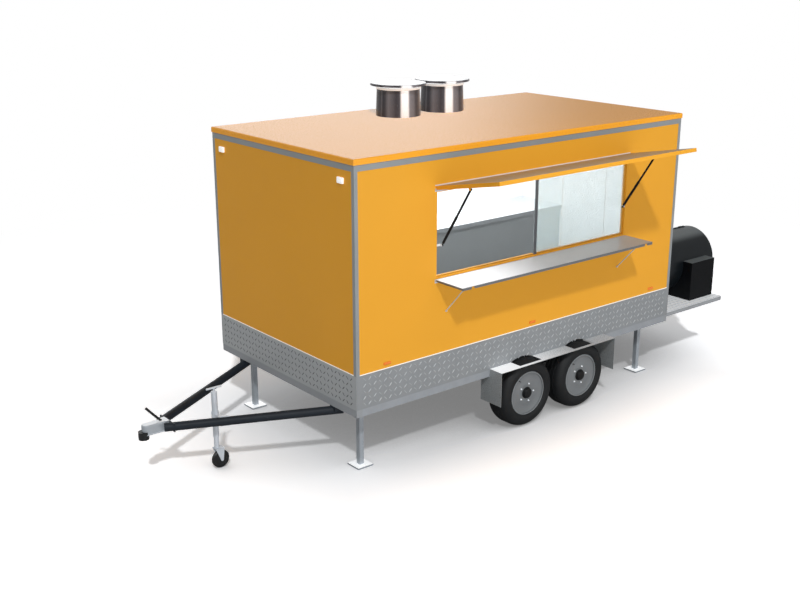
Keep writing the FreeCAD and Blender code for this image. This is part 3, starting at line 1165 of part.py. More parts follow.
def roof_vent(place):
    """Tapered drum with a rolled rim, closed by a damper, and a round cap on three stays."""
    base = vec(place, VENT_FROM_SIDE, ROOF_TOP)
    drum = Part.makeCone(VENT_BASE_RADIUS, VENT_TOP_RADIUS, VENT_HEIGHT, base)
    hollow = Part.makeCone(VENT_BASE_RADIUS - VENT_SHEET, VENT_TOP_RADIUS - VENT_SHEET, VENT_HEIGHT, base)
    rim_z = ROOF_TOP + VENT_HEIGHT
    rim = tube(vec(place, VENT_FROM_SIDE, rim_z - VENT_SHEET), vec(place, VENT_FROM_SIDE, rim_z + VENT_SHEET),
               VENT_TOP_RADIUS + VENT_SHEET, VENT_SHEET + VENT_SHEET)
    damper = Part.makeCylinder(VENT_TOP_RADIUS - VENT_SHEET / 2, VENT_SHEET,
                               vec(place, VENT_FROM_SIDE, rim_z - VENT_GAP))
    cap_z = rim_z + VENT_GAP
    cap = Part.makeCylinder(VENT_CAP_RADIUS, VENT_CAP_THICKNESS, vec(place, VENT_FROM_SIDE, cap_z))
    edges = [edge for edge in cap.Edges if edge.Closed and edge.BoundBox.ZMin > cap_z + VENT_SHEET]
    cap = cap.makeChamfer(VENT_CAP_THICKNESS / 3, edges)
    stays = []
    for index in range(VENT_STAY_COUNT):
        angle = 2 * math.pi * index / VENT_STAY_COUNT
        reach = VENT_TOP_RADIUS - VENT_STAY_RADIUS - VENT_STAY_RADIUS
        foot = vec(place + reach * math.cos(angle), VENT_FROM_SIDE + reach * math.sin(angle),
                   rim_z - VENT_GAP)
        stays.append(Part.makeCylinder(VENT_STAY_RADIUS, VENT_GAP + VENT_GAP + VENT_SHEET, foot))
    return fuse([drum.cut(hollow), rim, damper, cap] + stays)


def lamps():
    """White front lamps, amber side markers and red tail lamps, each on its wall."""
    shapes = []
    half = FRONT_LAMP_WIDTH / 2
    for middle in (FRONT_LAMP_INSET, BODY_WIDTH - FRONT_LAMP_INSET):
        shapes.append(lamp(box(-FRONT_LAMP_DEPTH, 0, middle - half, middle + half,
                               FRONT_LAMP_CENTRE - FRONT_LAMP_HEIGHT / 2,
                               FRONT_LAMP_CENTRE + FRONT_LAMP_HEIGHT / 2), FRONT_LAMP_DEPTH / 3))
    side = [lamp(box(place - SIDE_LAMP_WIDTH / 2, place + SIDE_LAMP_WIDTH / 2, -SIDE_LAMP_DEPTH, 0,
                     SIDE_LAMP_CENTRE - SIDE_LAMP_HEIGHT / 2, SIDE_LAMP_CENTRE + SIDE_LAMP_HEIGHT / 2),
                 SIDE_LAMP_DEPTH / 3) for place in SIDE_LAMP_PLACES]
    for middle in (TAIL_LAMP_INSET, BODY_WIDTH - TAIL_LAMP_INSET):
        shapes.append(lamp(box(BODY_LENGTH, BODY_LENGTH + FRONT_LAMP_DEPTH, middle - TAIL_LAMP_WIDTH / 2,
                               middle + TAIL_LAMP_WIDTH / 2, TAIL_LAMP_CENTRE - TAIL_LAMP_HEIGHT / 2,
                               TAIL_LAMP_CENTRE + TAIL_LAMP_HEIGHT / 2), FRONT_LAMP_DEPTH / 3))
    return shapes + both_sides(side)


def lamp(block, bevel):
    """A lens with its edges bevelled all over."""
    return block.makeChamfer(bevel, block.Edges)


def porch_deck():
    """Edge frame and plate of the rear porch, with ribs along it."""
    front = BODY_LENGTH + SKIN
    low = DECK_TOP - PORCH_FRAME
    outside = box(front, PORCH_REAR, 0, BODY_WIDTH, low, DECK_TOP)
    pocket = box(front + PORCH_FRAME_WIDTH, PORCH_REAR - PORCH_FRAME_WIDTH, PORCH_FRAME_WIDTH,
                 BODY_WIDTH - PORCH_FRAME_WIDTH, low - CUT, DECK_TOP - PORCH_PLATE)
    beams = [box(front, PORCH_REAR, y - PORCH_FRAME_WIDTH / 2, y + PORCH_FRAME_WIDTH / 2, low, DECK_TOP)
             for y in (BODY_WIDTH / 3, BODY_WIDTH * 2 / 3)]
    return fuse([outside.cut(pocket)] + beams)


def deck_ribs():
    """Raised ribs on the porch deck, clear of the smoker's feet."""
    pitch = BODY_WIDTH / RIB_COUNT
    return [box(BODY_LENGTH + SKIN, PORCH_REAR, pitch * (index + 0.25), pitch * (index + 0.75),
                DECK_TOP, DECK_TOP + RIB_RISE) for index in range(RIB_COUNT)]


def barrel_front():
    return BARREL_REAR - BARREL_LENGTH


def barrel_axis(x):
    return vec(x, BARREL_FROM_SIDE, BARREL_HEIGHT)


def sector(low_x, high_x, inner, outer, start, arc):
    """Part of a round shell about the barrel's axis, measured from the top towards the far side."""
    first = math.radians(start)
    middle = math.radians(start + arc / 2)
    last = math.radians(start + arc)

    def at(radius, angle):
        return barrel_axis(low_x) + vec(0, radius * math.sin(angle), radius * math.cos(angle))

    edges = [Part.Arc(at(outer, first), at(outer, middle), at(outer, last)).toShape(),
             Part.makeLine(at(outer, last), at(inner, last)),
             Part.Arc(at(inner, last), at(inner, middle), at(inner, first)).toShape(),
             Part.makeLine(at(inner, first), at(outer, first))]
    return Part.Face(Part.Wire(edges)).extrude(vec(high_x - low_x, 0, 0))


def lid_rear():
    return BARREL_REAR - LID_REAR_INSET


def smoker_barrel():
    """Rolled barrel with closed ends, cut for its lid and firebox, on two saddles."""
    shell = tube(barrel_axis(barrel_front()), barrel_axis(BARREL_REAR), BARREL_RADIUS, BARREL_SHEET)
    ends = [rod(barrel_axis(low), barrel_axis(low + BARREL_SHEET), BARREL_RADIUS)
            for low in (barrel_front(), BARREL_REAR - BARREL_SHEET)]
    lap = math.degrees(LID_LAP / BARREL_RADIUS)
    mouth = sector(lid_rear() - LID_LENGTH + LID_LAP, lid_rear() - LID_LAP, BARREL_RADIUS - BARREL_SHEET * 2,
                   BARREL_RADIUS + BARREL_SHEET, LID_START + lap, LID_ARC - lap - lap)
    body = fuse([shell] + ends).cut(mouth)
    saddles = []
    for middle in (barrel_front() + SADDLE_INSET, PORCH_REAR - SADDLE_INSET):
        block = box(middle - SADDLE_THICKNESS / 2, middle + SADDLE_THICKNESS / 2,
                    FIREBOX_NEAR + FIREBOX_DEPTH, BARREL_FROM_SIDE + BARREL_RADIUS * 0.6,
                    DECK_TOP + RIB_RISE, BARREL_HEIGHT - BARREL_RADIUS * 0.85)
        inside = rod(barrel_axis(middle - SADDLE_THICKNESS), barrel_axis(middle + SADDLE_THICKNESS),
                     BARREL_RADIUS - BARREL_SHEET / 2)
        saddles.append(block.cut(inside))
    return fuse([body] + saddles)


def firebox_block(margin):
    """Outside of the firebox, made smaller all round by a margin."""
    low_z = DECK_TOP + RIB_RISE
    return box(FIREBOX_FRONT + margin, FIREBOX_REAR - margin, FIREBOX_NEAR + margin,
               FIREBOX_NEAR + FIREBOX_DEPTH - margin, low_z + margin, FIREBOX_TOP - margin)


def lid_hinge():
    """The lid's hinge line, just outside the barrel beside its top."""
    angle = math.radians(LID_START - math.degrees(HINGE_KNUCKLE_RADIUS / BARREL_RADIUS))
    reach = BARREL_RADIUS + HINGE_KNUCKLE_RADIUS + PIN_GAP
    return vec(0, reach * math.sin(angle), reach * math.cos(angle)) + barrel_axis(0)


def smoker_lid():
    """Curved lid over the barrel's mouth, with its hinge knuckles and a bar handle."""
    low_x = lid_rear() - LID_LENGTH
    inner = BARREL_RADIUS + PIN_GAP
    shell = sector(low_x, lid_rear(), inner, inner + LID_SHEET, LID_START, LID_ARC)
    hinge = lid_hinge()
    shapes = [shell]
    for low in (low_x + LID_LENGTH / 8, lid_rear() - LID_LENGTH / 8 - DOOR_HINGE_LENGTH / 2):
        start = hinge + vec(low, 0, 0)
        end = start + vec(DOOR_HINGE_LENGTH / 2, 0, 0)
        shapes.append(rod(start, end, HINGE_KNUCKLE_RADIUS))
        shapes.append(box(low, low + DOOR_HINGE_LENGTH / 2, hinge.y, hinge.y + HINGE_KNUCKLE_RADIUS * 2.4,
                          hinge.z - HINGE_KNUCKLE_RADIUS * 0.6, hinge.z + HINGE_PIN_RADIUS))
    pin_start = hinge + vec(low_x + LID_LENGTH / 8 - DOOR_HINGE_LENGTH / 4, 0, 0)
    pin_end = hinge + vec(lid_rear() - LID_LENGTH / 8 + DOOR_HINGE_LENGTH / 4, 0, 0)
    shapes.append(rod(pin_start, pin_end, HINGE_PIN_RADIUS))
    cleared = rod(barrel_axis(low_x - CUT), barrel_axis(lid_rear() + CUT), inner)
    angle = math.radians(LID_START + LID_ARC - LID_START * 2)
    out = vec(0, math.sin(angle), math.cos(angle))
    grip = barrel_axis(0) + out * (inner + LID_HANDLE_STAND)
    grip_low = grip + vec(low_x + LID_LENGTH / 4, 0, 0)
    grip_high = grip + vec(lid_rear() - LID_LENGTH / 4, 0, 0)
    shapes.append(rod(grip_low, grip_high, LID_HANDLE_RADIUS))
    for end in (grip_low, grip_high):
        shapes.append(rod(end - out * LID_HANDLE_STAND, end, LID_HANDLE_RADIUS * 0.7))
    return fuse(shapes).cut(cleared)


def smoker_hinge_ears():
    """Bored ears on the barrel that carry the ends of the lid's pin."""
    low_x = lid_rear() - LID_LENGTH
    hinge = lid_hinge()
    ears = []
    for low in (low_x + LID_LENGTH / 8 - DOOR_HINGE_LENGTH / 4, lid_rear() - LID_LENGTH / 8 + KNUCKLE_GAP):
        high = low + DOOR_HINGE_LENGTH / 4 - KNUCKLE_GAP
        ring_part = rod(hinge + vec(low, 0, 0), hinge + vec(high, 0, 0), HINGE_KNUCKLE_RADIUS)
        web = box(low, high, hinge.y - HINGE_KNUCKLE_RADIUS * 2, hinge.y, hinge.z - HINGE_KNUCKLE_RADIUS * 2,
                  hinge.z)
        ear = fuse([ring_part, web]).cut(rod(barrel_axis(low - CUT), barrel_axis(high + CUT), BARREL_RADIUS))
        bore = rod(hinge + vec(low - CUT, 0, 0), hinge + vec(high + CUT, 0, 0), HINGE_PIN_RADIUS + PIN_GAP)
        ears.append(ear.cut(bore))
    return ears


def smoker_grate():
    """Cooking grate of round bars on two cross rods inside the barrel."""
    z = BARREL_HEIGHT - GRATE_DROP
    inner = BARREL_RADIUS - BARREL_SHEET
    half = math.sqrt(inner ** 2 - GRATE_DROP ** 2) - PIN_GAP
    low_x = lid_rear() - LID_LENGTH
    bars = []
    for index in range(GRATE_BARS):
        y = BARREL_FROM_SIDE - half * 0.9 + 1.8 * half * index / (GRATE_BARS - 1)
        bars.append(rod(vec(low_x, y, z), vec(lid_rear(), y, z), GRATE_BAR_RADIUS))
    lowest = GRATE_DROP + GRATE_BAR_RADIUS * 2
    reach = math.sqrt(inner ** 2 - lowest ** 2) - PIN_GAP
    for x in (low_x + LID_LAP * 2, lid_rear() - LID_LAP * 2):
        bars.append(rod(vec(x, BARREL_FROM_SIDE - reach, z - GRATE_BAR_RADIUS),
                        vec(x, BARREL_FROM_SIDE + reach, z - GRATE_BAR_RADIUS), GRATE_BAR_RADIUS))
    return fuse(bars)


def firebox_hinge():
    radius = HINGE_KNUCKLE_RADIUS
    return vec(FIREBOX_REAR + radius + PIN_GAP, FIREBOX_NEAR + FIREBOX_DOOR_NEAR - radius, 0)


def firebox_mouth(lap):
    near = FIREBOX_NEAR + FIREBOX_DOOR_NEAR
    low = DECK_TOP + FIREBOX_DOOR_LOW
    return (near + lap, near + FIREBOX_DOOR_WIDTH - lap, low + lap, low + FIREBOX_DOOR_HEIGHT - lap)


def firebox():
    """Sheet firebox shaped to the barrel's side, with its mouth and hinge ears at the rear end."""
    shell = firebox_block(0).cut(firebox_block(FIREBOX_SHEET))
    shell = shell.cut(rod(barrel_axis(barrel_front()), barrel_axis(BARREL_REAR), BARREL_RADIUS))
    near, far, low, high = firebox_mouth(FIREBOX_DOOR_LAP)
    shell = shell.cut(box(FIREBOX_REAR - FIREBOX_SHEET * 2, FIREBOX_REAR + CUT, near, far, low, high))
    hinge = firebox_hinge()
    near, far, low, high = firebox_mouth(0)
    third = (high - low) / 3
    shapes = [shell]
    for start in (low, high - third):
        bottom = hinge + vec(0, 0, start)
        shapes.append(rod(bottom, bottom + vec(0, 0, third), HINGE_KNUCKLE_RADIUS))
        shapes.append(box(FIREBOX_REAR, hinge.x, hinge.y - HINGE_KNUCKLE_RADIUS, hinge.y,
                          start, start + third))
    bore = rod(hinge + vec(0, 0, low - CUT), hinge + vec(0, 0, high + CUT), HINGE_PIN_RADIUS + PIN_GAP)
    whole = fuse(shapes).cut(bore)
    return max(whole.Solids, key=lambda solid: solid.Volume)


def firebox_door():
    """Small fire door with its middle knuckle, pin and knob."""
    near, far, low, high = firebox_mouth(0)
    hinge = firebox_hinge()
    third = (high - low) / 3
    plate = box(FIREBOX_REAR, FIREBOX_REAR + FIREBOX_DOOR_SHEET, near + PIN_GAP, far, low, high)
    middle_low = low + third + KNUCKLE_GAP
    middle_high = high - third - KNUCKLE_GAP
    knuckle = rod(hinge + vec(0, 0, middle_low), hinge + vec(0, 0, middle_high), HINGE_KNUCKLE_RADIUS)
    web = box(FIREBOX_REAR, FIREBOX_REAR + FIREBOX_DOOR_SHEET, hinge.y, near + PIN_GAP,
              middle_low, middle_high)
    pin = rod(hinge + vec(0, 0, low), hinge + vec(0, 0, high), HINGE_PIN_RADIUS)
    knob_foot = vec(FIREBOX_REAR, far - FIREBOX_DOOR_WIDTH / 5, (low + high) / 2)
    knob = rod(knob_foot, knob_foot + vec(LID_HANDLE_STAND, 0, 0), LID_HANDLE_RADIUS)
    return fuse([plate, knuckle, web, pin, knob])


def at_origin(shapes):
    """One shape from a list, moved so that the origin is under the middle of the whole trailer."""
    reach = HATCH_LENGTH * math.cos(math.radians(HATCH_TILT))
    underside = (HINGE_LEAF + KNUCKLE_GAP) * math.sin(math.radians(HATCH_TILT))
    low_x = cup_middle() - CUP_RADIUS
    low_y = HINGE_Y - reach - underside
    high_y = BODY_WIDTH + FENDER_PROUD
    shift = vec(-(low_x + BARREL_REAR) / 2, -(low_y + high_y) / 2, 0)
    shape = shapes[0] if len(shapes) == 1 else Part.makeCompound(shapes)
    return moved(shape, shift.x, shift.y, shift.z)


def wheel_nodes():
    nodes = {}
    for place, end in zip(AXLE_PLACES, ("front", "rear")):
        for make, part in ((tyre, "tyre"), (rim, "rim")):
            shape = make(place)
            nodes[f"{part}_{end}_service"] = [shape]
            nodes[f"{part}_{end}_plain"] = [across(shape)]
    return nodes


def all_nodes():
    nodes = {
        "chassis_rails": chassis_rails(),
        "cross_members": cross_members(),
        "axle_tubes": axle_tubes(),
        "leaf_springs": leaf_springs(),
        "spring_hangers": spring_hangers(),
        "fenders": both_sides([fender()]),
        "wheel_boxes": both_sides([wheel_box()]),
        "drawbar": [drawbar()],
        "coupling_head": [coupling_head()],
        "ball_cup": [ball_cup()],
        "coupling_lever": [coupling_lever()],
        "jockey_tube": [jockey_tube()],
        "jockey_handle": [jockey_handle()],
        "jockey_leg": [jockey_leg()],
        "jockey_fork": [jockey_fork()],
        "jockey_wheel": [jockey_wheel()],
        "leg_brackets": leg_brackets(),
        "drop_legs": both_sides([drop_leg(place) for place in LEG_PLACES]),
        "floor": [floor()],
        "front_wall": [front_wall()],
        "rear_wall": [rear_wall()],
        "service_wall": [service_wall()],
        "plain_wall": [plain_wall()],
        "roof_panel": [roof_panel()],
        "roof_band": [roof_band()],
        "kick_plates": kick_plates().Solids,
        "corner_posts": corner_posts().Solids,
        "window_frame": [window_frame()],
        "window_glass": window_glass(),
        "hinge_leaves": [hatch_fixed_leaf(), shelf_fixed_leaf()] + door_fixed_hinges(),
        "hatch_panel": [hatch_panel()],
        "hatch_leaf": [hatch_leaf()],
        "strut_tubes": strut_tubes(),
        "strut_rods": strut_rods(),
        "pivot_brackets": pivot_brackets(),
        "shelf_panel": [shelf_panel()],
        "shelf_stays": shelf_stays(),
        "door_leaf": [door_leaf()],
        "counter_cabinet": [counter_cabinet()],
        "counter_top": [counter_top()],
        "roof_vents": [roof_vent(place) for place in VENT_PLACES],
        "lamps": lamps(),
        "porch_deck": [fuse([porch_deck()] + deck_ribs())],
        "smoker_barrel": [fuse([smoker_barrel()] + smoker_hinge_ears())],
        "smoker_lid": [smoker_lid()],
        "smoker_grate": [smoker_grate()],
        "firebox": [firebox()],
        "firebox_door": [firebox_door()],
    }
    nodes.update(wheel_nodes())
    return nodes


os.makedirs("parts", exist_ok=True)
for name, shapes in all_nodes().items():
    at_origin(shapes).exportStep(f"parts/{name}.step")
    print(name, len(shapes))
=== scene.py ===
import bpy
import bmesh
import math
from mathutils import Matrix, Vector


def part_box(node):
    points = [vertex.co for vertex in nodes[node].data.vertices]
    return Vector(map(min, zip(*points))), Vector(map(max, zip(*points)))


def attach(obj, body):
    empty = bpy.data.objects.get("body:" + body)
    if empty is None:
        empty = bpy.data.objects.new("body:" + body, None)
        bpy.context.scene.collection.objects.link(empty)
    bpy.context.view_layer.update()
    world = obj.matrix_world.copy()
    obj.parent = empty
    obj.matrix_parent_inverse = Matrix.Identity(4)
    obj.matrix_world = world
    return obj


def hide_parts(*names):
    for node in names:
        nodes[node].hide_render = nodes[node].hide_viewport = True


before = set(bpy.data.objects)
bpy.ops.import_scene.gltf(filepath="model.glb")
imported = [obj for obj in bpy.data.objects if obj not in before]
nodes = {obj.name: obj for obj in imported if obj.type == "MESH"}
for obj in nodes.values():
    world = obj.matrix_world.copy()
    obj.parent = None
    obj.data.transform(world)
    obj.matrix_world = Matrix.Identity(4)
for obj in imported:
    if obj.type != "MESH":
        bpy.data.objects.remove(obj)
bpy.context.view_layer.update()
print("frame loaded:", len(nodes), "nodes")

# Places are measured from the body's front face, the serving side and the ground
bodyOrigin = Vector((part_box("front_wall")[0].x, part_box("service_wall")[0].y, 0))


def spot(x, y, z):
    return bodyOrigin + Vector((x, y, z))


def link(thing):
    bpy.context.scene.collection.objects.link(thing)
    return thing


def aim(heading, pitch):
    turn, dip = math.radians(heading), math.radians(pitch)
    return Vector((math.cos(turn) * math.cos(dip), math.sin(turn) * math.cos(dip), -math.sin(dip)))


def srgb(red, green, blue):
    linear = [value / 255 / 12.92 if value < 11 else ((value / 255 + 0.055) / 1.055) ** 2.4
              for value in (red, green, blue)]
    return (*linear, 1.0)


viewpoint = {"place": (-6.8606, -7.5629, 4.2374), "heading": 50.94, "pitch": 17.447, "tall": 30.0,
             "far": 300.0}
cameraData = bpy.data.cameras.new("camera")
cameraData.sensor_fit = "VERTICAL"
cameraData.lens = cameraData.sensor_height / 2 / math.tan(math.radians(viewpoint["tall"]) / 2)
cameraData.clip_end = viewpoint["far"]
camera = link(bpy.data.objects.new("camera", cameraData))
camera.location = viewpoint["place"]
camera.rotation_euler = aim(viewpoint["heading"], viewpoint["pitch"]).to_track_quat("-Z", "Y").to_euler()
bpy.context.scene.camera = camera


# A node tree under construction, with short forms for the sums used here
class Net:
    def __init__(self, owner):
        owner.use_nodes = True
        self.tree = owner.node_tree
        self.tree.nodes.clear()

    def put(self, value, socket):
        if isinstance(value, bpy.types.NodeSocket):
            self.tree.links.new(value, socket)
        else:
            socket.default_value = value

    def add(self, kind, **inputs):
        node = self.tree.nodes.new(kind)
        for name, value in inputs.items():
            self.put(value, node.inputs[name.replace("_", " ")])
        return node

    def sum(self, operation, *values):
        node = self.tree.nodes.new("ShaderNodeMath")
        node.operation = operation
        for value, socket in zip(values, node.inputs):
            self.put(value, socket)
        return node.outputs[0]

    def ramp(self, value, start, end, low=0.0, high=1.0):
        node = self.tree.nodes.new("ShaderNodeMapRange")
        node.interpolation_type = "SMOOTHSTEP"
        for entry, name in ((value, "Value"), (start, "From Min"), (end, "From Max"), (low, "To Min"),
                            (high, "To Max")):
            self.put(entry, node.inputs[name])
        return node.outputs["Result"]

    def mix(self, factor, first, second):
        node = self.tree.nodes.new("ShaderNodeMix")
        node.data_type = "RGBA"
        for value, index in ((factor, 0), (first, 6), (second, 7)):
            self.put(value, node.inputs[index])
        return node.outputs[2]

    def seen(self):
        rays = self.tree.nodes.new("ShaderNodeLightPath")
        return self.sum("MAXIMUM", rays.outputs["Is Camera Ray"], rays.outputs["Is Transmission Ray"])

    def axes(self, scale=(1, 1, 1)):
        where = self.tree.nodes.new("ShaderNodeTexCoord").outputs["Object"]
        return self.add("ShaderNodeMapping", Vector=where, Scale=scale).outputs[0]

    def split(self, vector):
        return self.add("ShaderNodeSeparateXYZ", Vector=vector).outputs

    def noise(self, scale, detail=3.0, stretch=(1, 1, 1)):
        where = self.axes(stretch)
        return self.add("ShaderNodeTexNoise", Vector=where, Scale=scale, Detail=detail).outputs[0]

    def close(self, shader, kind="ShaderNodeOutputMaterial"):
        self.put(shader.outputs[0], self.tree.nodes.new(kind).inputs["Surface"])


studio = {"ambient": 0.22, "back": 1.0, "keyStrength": 1.35, "keyHeading": 55.0, "keyPitch": 45.5,
          "keySoft": 3.0, "floorRadius": 40.0, "floorSteps": 96, "floorDrop": 0.0005,
          "floorShade": (238, 238, 239), "floorBoost": (222, 224, 227), "floorLift": 0.19,
          "fadeStart": 5.6, "fadeEnd": 9.5, "nearness": 2.4, "hidden": -0.18, "open": 0.90, "samples": 32}
# What polished faces see: a bright stretch behind the trailer between two headings, grey elsewhere
gleam = {"grey": 0.45, "bright": 1.40, "start": 40.5, "full": 50.0, "fade": 56.0, "end": 80.0, "tail": 0.5,
         "low": -10.0, "level": 0.0, "high": 45.0, "top": 70.0}

world = bpy.data.worlds.new("studio")
bpy.context.scene.world = world
net = Net(world)
direction = net.split(net.tree.nodes.new("ShaderNodeTexCoord").outputs["Generated"])
heading = net.sum("MULTIPLY", net.sum("ARCTAN2", direction[1], direction[0]), math.degrees(1))
rise = net.sum("MULTIPLY", net.sum("ARCSINE", direction[2]), math.degrees(1))
across = net.sum("MULTIPLY", net.ramp(heading, gleam["start"], gleam["full"]),
                 net.ramp(heading, gleam["fade"], gleam["end"], 1.0, gleam["tail"]))
along = net.sum("MULTIPLY", net.ramp(rise, gleam["low"], gleam["level"]),
                net.ramp(rise, gleam["high"], gleam["top"], 1.0, 0.0))
stretch = net.sum("MULTIPLY", net.sum("MULTIPLY", across, along), gleam["bright"])
shine = net.sum("ADD", stretch, gleam["grey"])
glossy = net.tree.nodes.new("ShaderNodeLightPath").outputs["Is Glossy Ray"]
lit = net.sum("ADD", net.sum("MULTIPLY", glossy, shine),
              net.sum("MULTIPLY", net.sum("SUBTRACT", 1.0, glossy), studio["ambient"]))
seen = net.seen()
level = net.sum("ADD", net.sum("MULTIPLY", seen, studio["back"]),
                net.sum("MULTIPLY", net.sum("SUBTRACT", 1.0, seen), lit))
net.close(net.add("ShaderNodeBackground", Color=(1, 1, 1, 1), Strength=level), "ShaderNodeOutputWorld")


def panelLight(name, place, target, width, height, power, seenInGloss=True, shades=True):
    data = bpy.data.lights.new(name, "AREA")
    data.shape = "RECTANGLE"
    data.use_shadow = shades
    data.size, data.size_y, data.energy = width, height, power
    thing = link(bpy.data.objects.new(name, data))
    thing.location = place
    thing.rotation_euler = (Vector(target) - Vector(place)).to_track_quat("-Z", "Y").to_euler()
    thing.visible_camera = False
    thing.visible_glossy = seenInGloss
    return thing


sunData = bpy.data.lights.new("key", "SUN")
sunData.energy = studio["keyStrength"]
sunData.angle = math.radians(studio["keySoft"])
sun = link(bpy.data.objects.new("key", sunData))
sun.rotation_euler = aim(studio["keyHeading"], studio["keyPitch"]).to_track_quat("-Z", "Y").to_euler()

panels = {"sideFill": ((-0.4, -9.5, 2.2), (0, 0, 1.5), 9.0, 4.0, 330, False),
          "noseFill": ((-9.0, 1.5, 2.2), (0, 0.3, 1.5), 4.0, 3.5, 12, True)}
for name, (place, target, wide, tall, power, shades) in panels.items():
    panelLight(name, place, target, wide, tall, power, True, shades)
hatchFill = {"place": (2.0, -1.7, 3.7), "target": (2.0, 0, 2.45), "wide": 2.4, "tall": 0.3, "power": 6}
panelLight("hatchFill", spot(*hatchFill["place"]), spot(*hatchFill["target"]), hatchFill["wide"],
           hatchFill["tall"], hatchFill["power"], False)
cabinLamp = {"places": (0.9, 2.6), "side": 1.06, "height": 2.62, "wide": 1.2, "tall": 0.9, "power": 26}
for place in cabinLamp["places"]:
    above, below = [spot(place, cabinLamp["side"], height) for height in (cabinLamp["height"], 0)]
    panelLight("cabinLamp", above, below, cabinLamp["wide"], cabinLamp["tall"], cabinLamp["power"], False)

floorMesh = bmesh.new()
bmesh.ops.create_circle(floorMesh, cap_ends=True, segments=studio["floorSteps"],
                        radius=studio["floorRadius"])
floorData = bpy.data.meshes.new("floorSheet")
floorMesh.to_mesh(floorData)
floorMesh.free()
floorSheet = link(bpy.data.objects.new("floorSheet", floorData))
floorSheet.location.z = -studio["floorDrop"]
floorPaint = bpy.data.materials.new("floor paper")
net = Net(floorPaint)
seen = net.seen()
# Painted shade: ambient occlusion darkens the floor's colour under and near the trailer
openness = net.add("ShaderNodeAmbientOcclusion", Distance=studio["nearness"])
openness.samples = studio["samples"]
openShare = net.ramp(openness.outputs["AO"], studio["hidden"], studio["open"])
# Painted shade: a faint grey darkening round the trailer, by distance from the body's outline
paintedShadeRing = {"middle": (0.199, 0.299), "half": (2.0, 1.065), "inner": -0.35, "outer": 1.2, "depth": 0.20}
place = net.split(net.axes())
sides = [net.sum("SUBTRACT", net.sum("ABSOLUTE", net.sum("SUBTRACT", place[index], paintedShadeRing["middle"][index])),
                 paintedShadeRing["half"][index]) for index in range(2)]
outside = net.sum("MAXIMUM", *sides)
paintedShadeShare = net.sum("MULTIPLY", net.ramp(outside, paintedShadeRing["inner"], 0.0),
                    net.ramp(outside, 0.0, paintedShadeRing["outer"], 1.0, 0.0))
unshadedShare = net.sum("SUBTRACT", 1.0, net.sum("MULTIPLY", paintedShadeShare, paintedShadeRing["depth"]))
openShare = net.sum("MULTIPLY", openShare, unshadedShare)
paper = net.add("ShaderNodeBsdfDiffuse", Color=net.mix(openShare, (0, 0, 0, 1), srgb(*studio["floorShade"])))
boostShare = net.sum("MULTIPLY", seen, openShare)
boost = net.add("ShaderNodeBsdfDiffuse",
                Color=net.mix(boostShare, (0, 0, 0, 1), srgb(*studio["floorBoost"])))
lift = net.add("ShaderNodeEmission", Color=(1, 1, 1, 1),
               Strength=net.sum("MULTIPLY", seen, studio["floorLift"]))
white = net.add("ShaderNodeEmission", Color=(1, 1, 1, 1), Strength=studio["back"])
first, second = net.tree.nodes.new("ShaderNodeAddShader"), net.tree.nodes.new("ShaderNodeAddShader")
for value, socket in ((paper.outputs[0], first.inputs[0]), (boost.outputs[0], first.inputs[1]),
                      (first.outputs[0], second.inputs[0]), (lift.outputs[0], second.inputs[1])):
    net.put(value, socket)
squares = [net.sum("MULTIPLY", place[index], place[index]) for index in range(2)]
away = net.sum("SQRT", net.sum("ADD", *squares))
fade = net.sum("MULTIPLY", seen, net.ramp(away, studio["fadeStart"], studio["fadeEnd"]))
blend = net.add("ShaderNodeMixShader", Fac=fade)
net.put(second.outputs[0], blend.inputs[1])
net.put(white.outputs[0], blend.inputs[2])
net.close(blend)
floorSheet.data.materials.append(floorPaint)
bpy.context.scene.view_settings.view_transform = "Standard"
print("camera, floor and light set")

cabin = {"wall": 0.045, "skin": 0.0015, "low": Vector((*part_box("front_wall")[0].xy, -1.0)),
         "high": Vector((*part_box("plain_wall")[1].xy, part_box("roof_panel")[0].z))}
cabin["low"].y, cabin["high"].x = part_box("service_wall")[0].y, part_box("rear_wall")[1].x


# One inside a box, zero outside it, by the object's own coordinates
def insideBox(net, low, high):
    place = net.split(net.axes())
    found = 1.0
    for index in range(3):
        middle, half = (low[index] + high[index]) / 2, (high[index] - low[index]) / 2
        near = net.sum("COMPARE", place[index], middle, half)
        found = net.sum("MULTIPLY", near, found)
    return found


mullion = {"low": (2.020, 0.0, 1.6), "high": (2.062, 0.06, 2.34)}
zones = {"frontFull": -0.95, "frontNone": -0.75, "topNone": 0.75, "topFull": 0.95, "middle": 2.0,
         "reach": 1.925}


# Where a second colour shows: by place inside or along the trailer, or on faces turned ahead or up. The
# facing zones and the nose zone carry painted light and shade
def zoneOf(net, kind):
    if kind == "lining":
        inset = Vector((cabin["wall"] - cabin["skin"],) * 2 + (-cabin["skin"],))
        return insideBox(net, cabin["low"] + inset, cabin["high"] - inset)
    normal = net.split(net.tree.nodes.new("ShaderNodeNewGeometry").outputs["Normal"])
    if kind == "front":
        return net.ramp(normal[0], zones["frontFull"], zones["frontNone"], 1.0, 0.0)
    # In front of the body's front face, where the lugs get painted shade
    if kind == "nose":
        return net.sum("LESS_THAN", net.split(net.axes())[0], bodyOrigin.x)
    if kind == "mullion":
        return insideBox(net, spot(*mullion["low"]), spot(*mullion["high"]))
    if kind == "ends":
        fromMiddle = net.sum("SUBTRACT", net.split(net.axes())[0], spot(zones["middle"], 0, 0).x)
        return net.sum("GREATER_THAN", net.sum("ABSOLUTE", fromMiddle), zones["reach"])
    if kind == "top":
        return net.ramp(normal[2], zones["topNone"], zones["topFull"])
    raise ValueError(kind)


def toned(colour, share):
    return tuple(min(1.0, value * share) for value in colour[:3]) + (1.0,)


paintBase = {"low": 0.3, "high": 0.7, "index": 1.45, "smoothest": 0.02, "bumpDepth": 0.002,
             "paintedSkyGlow": (0.96, 0.98, 1.0, 1.0), "sharpAngle": 32}
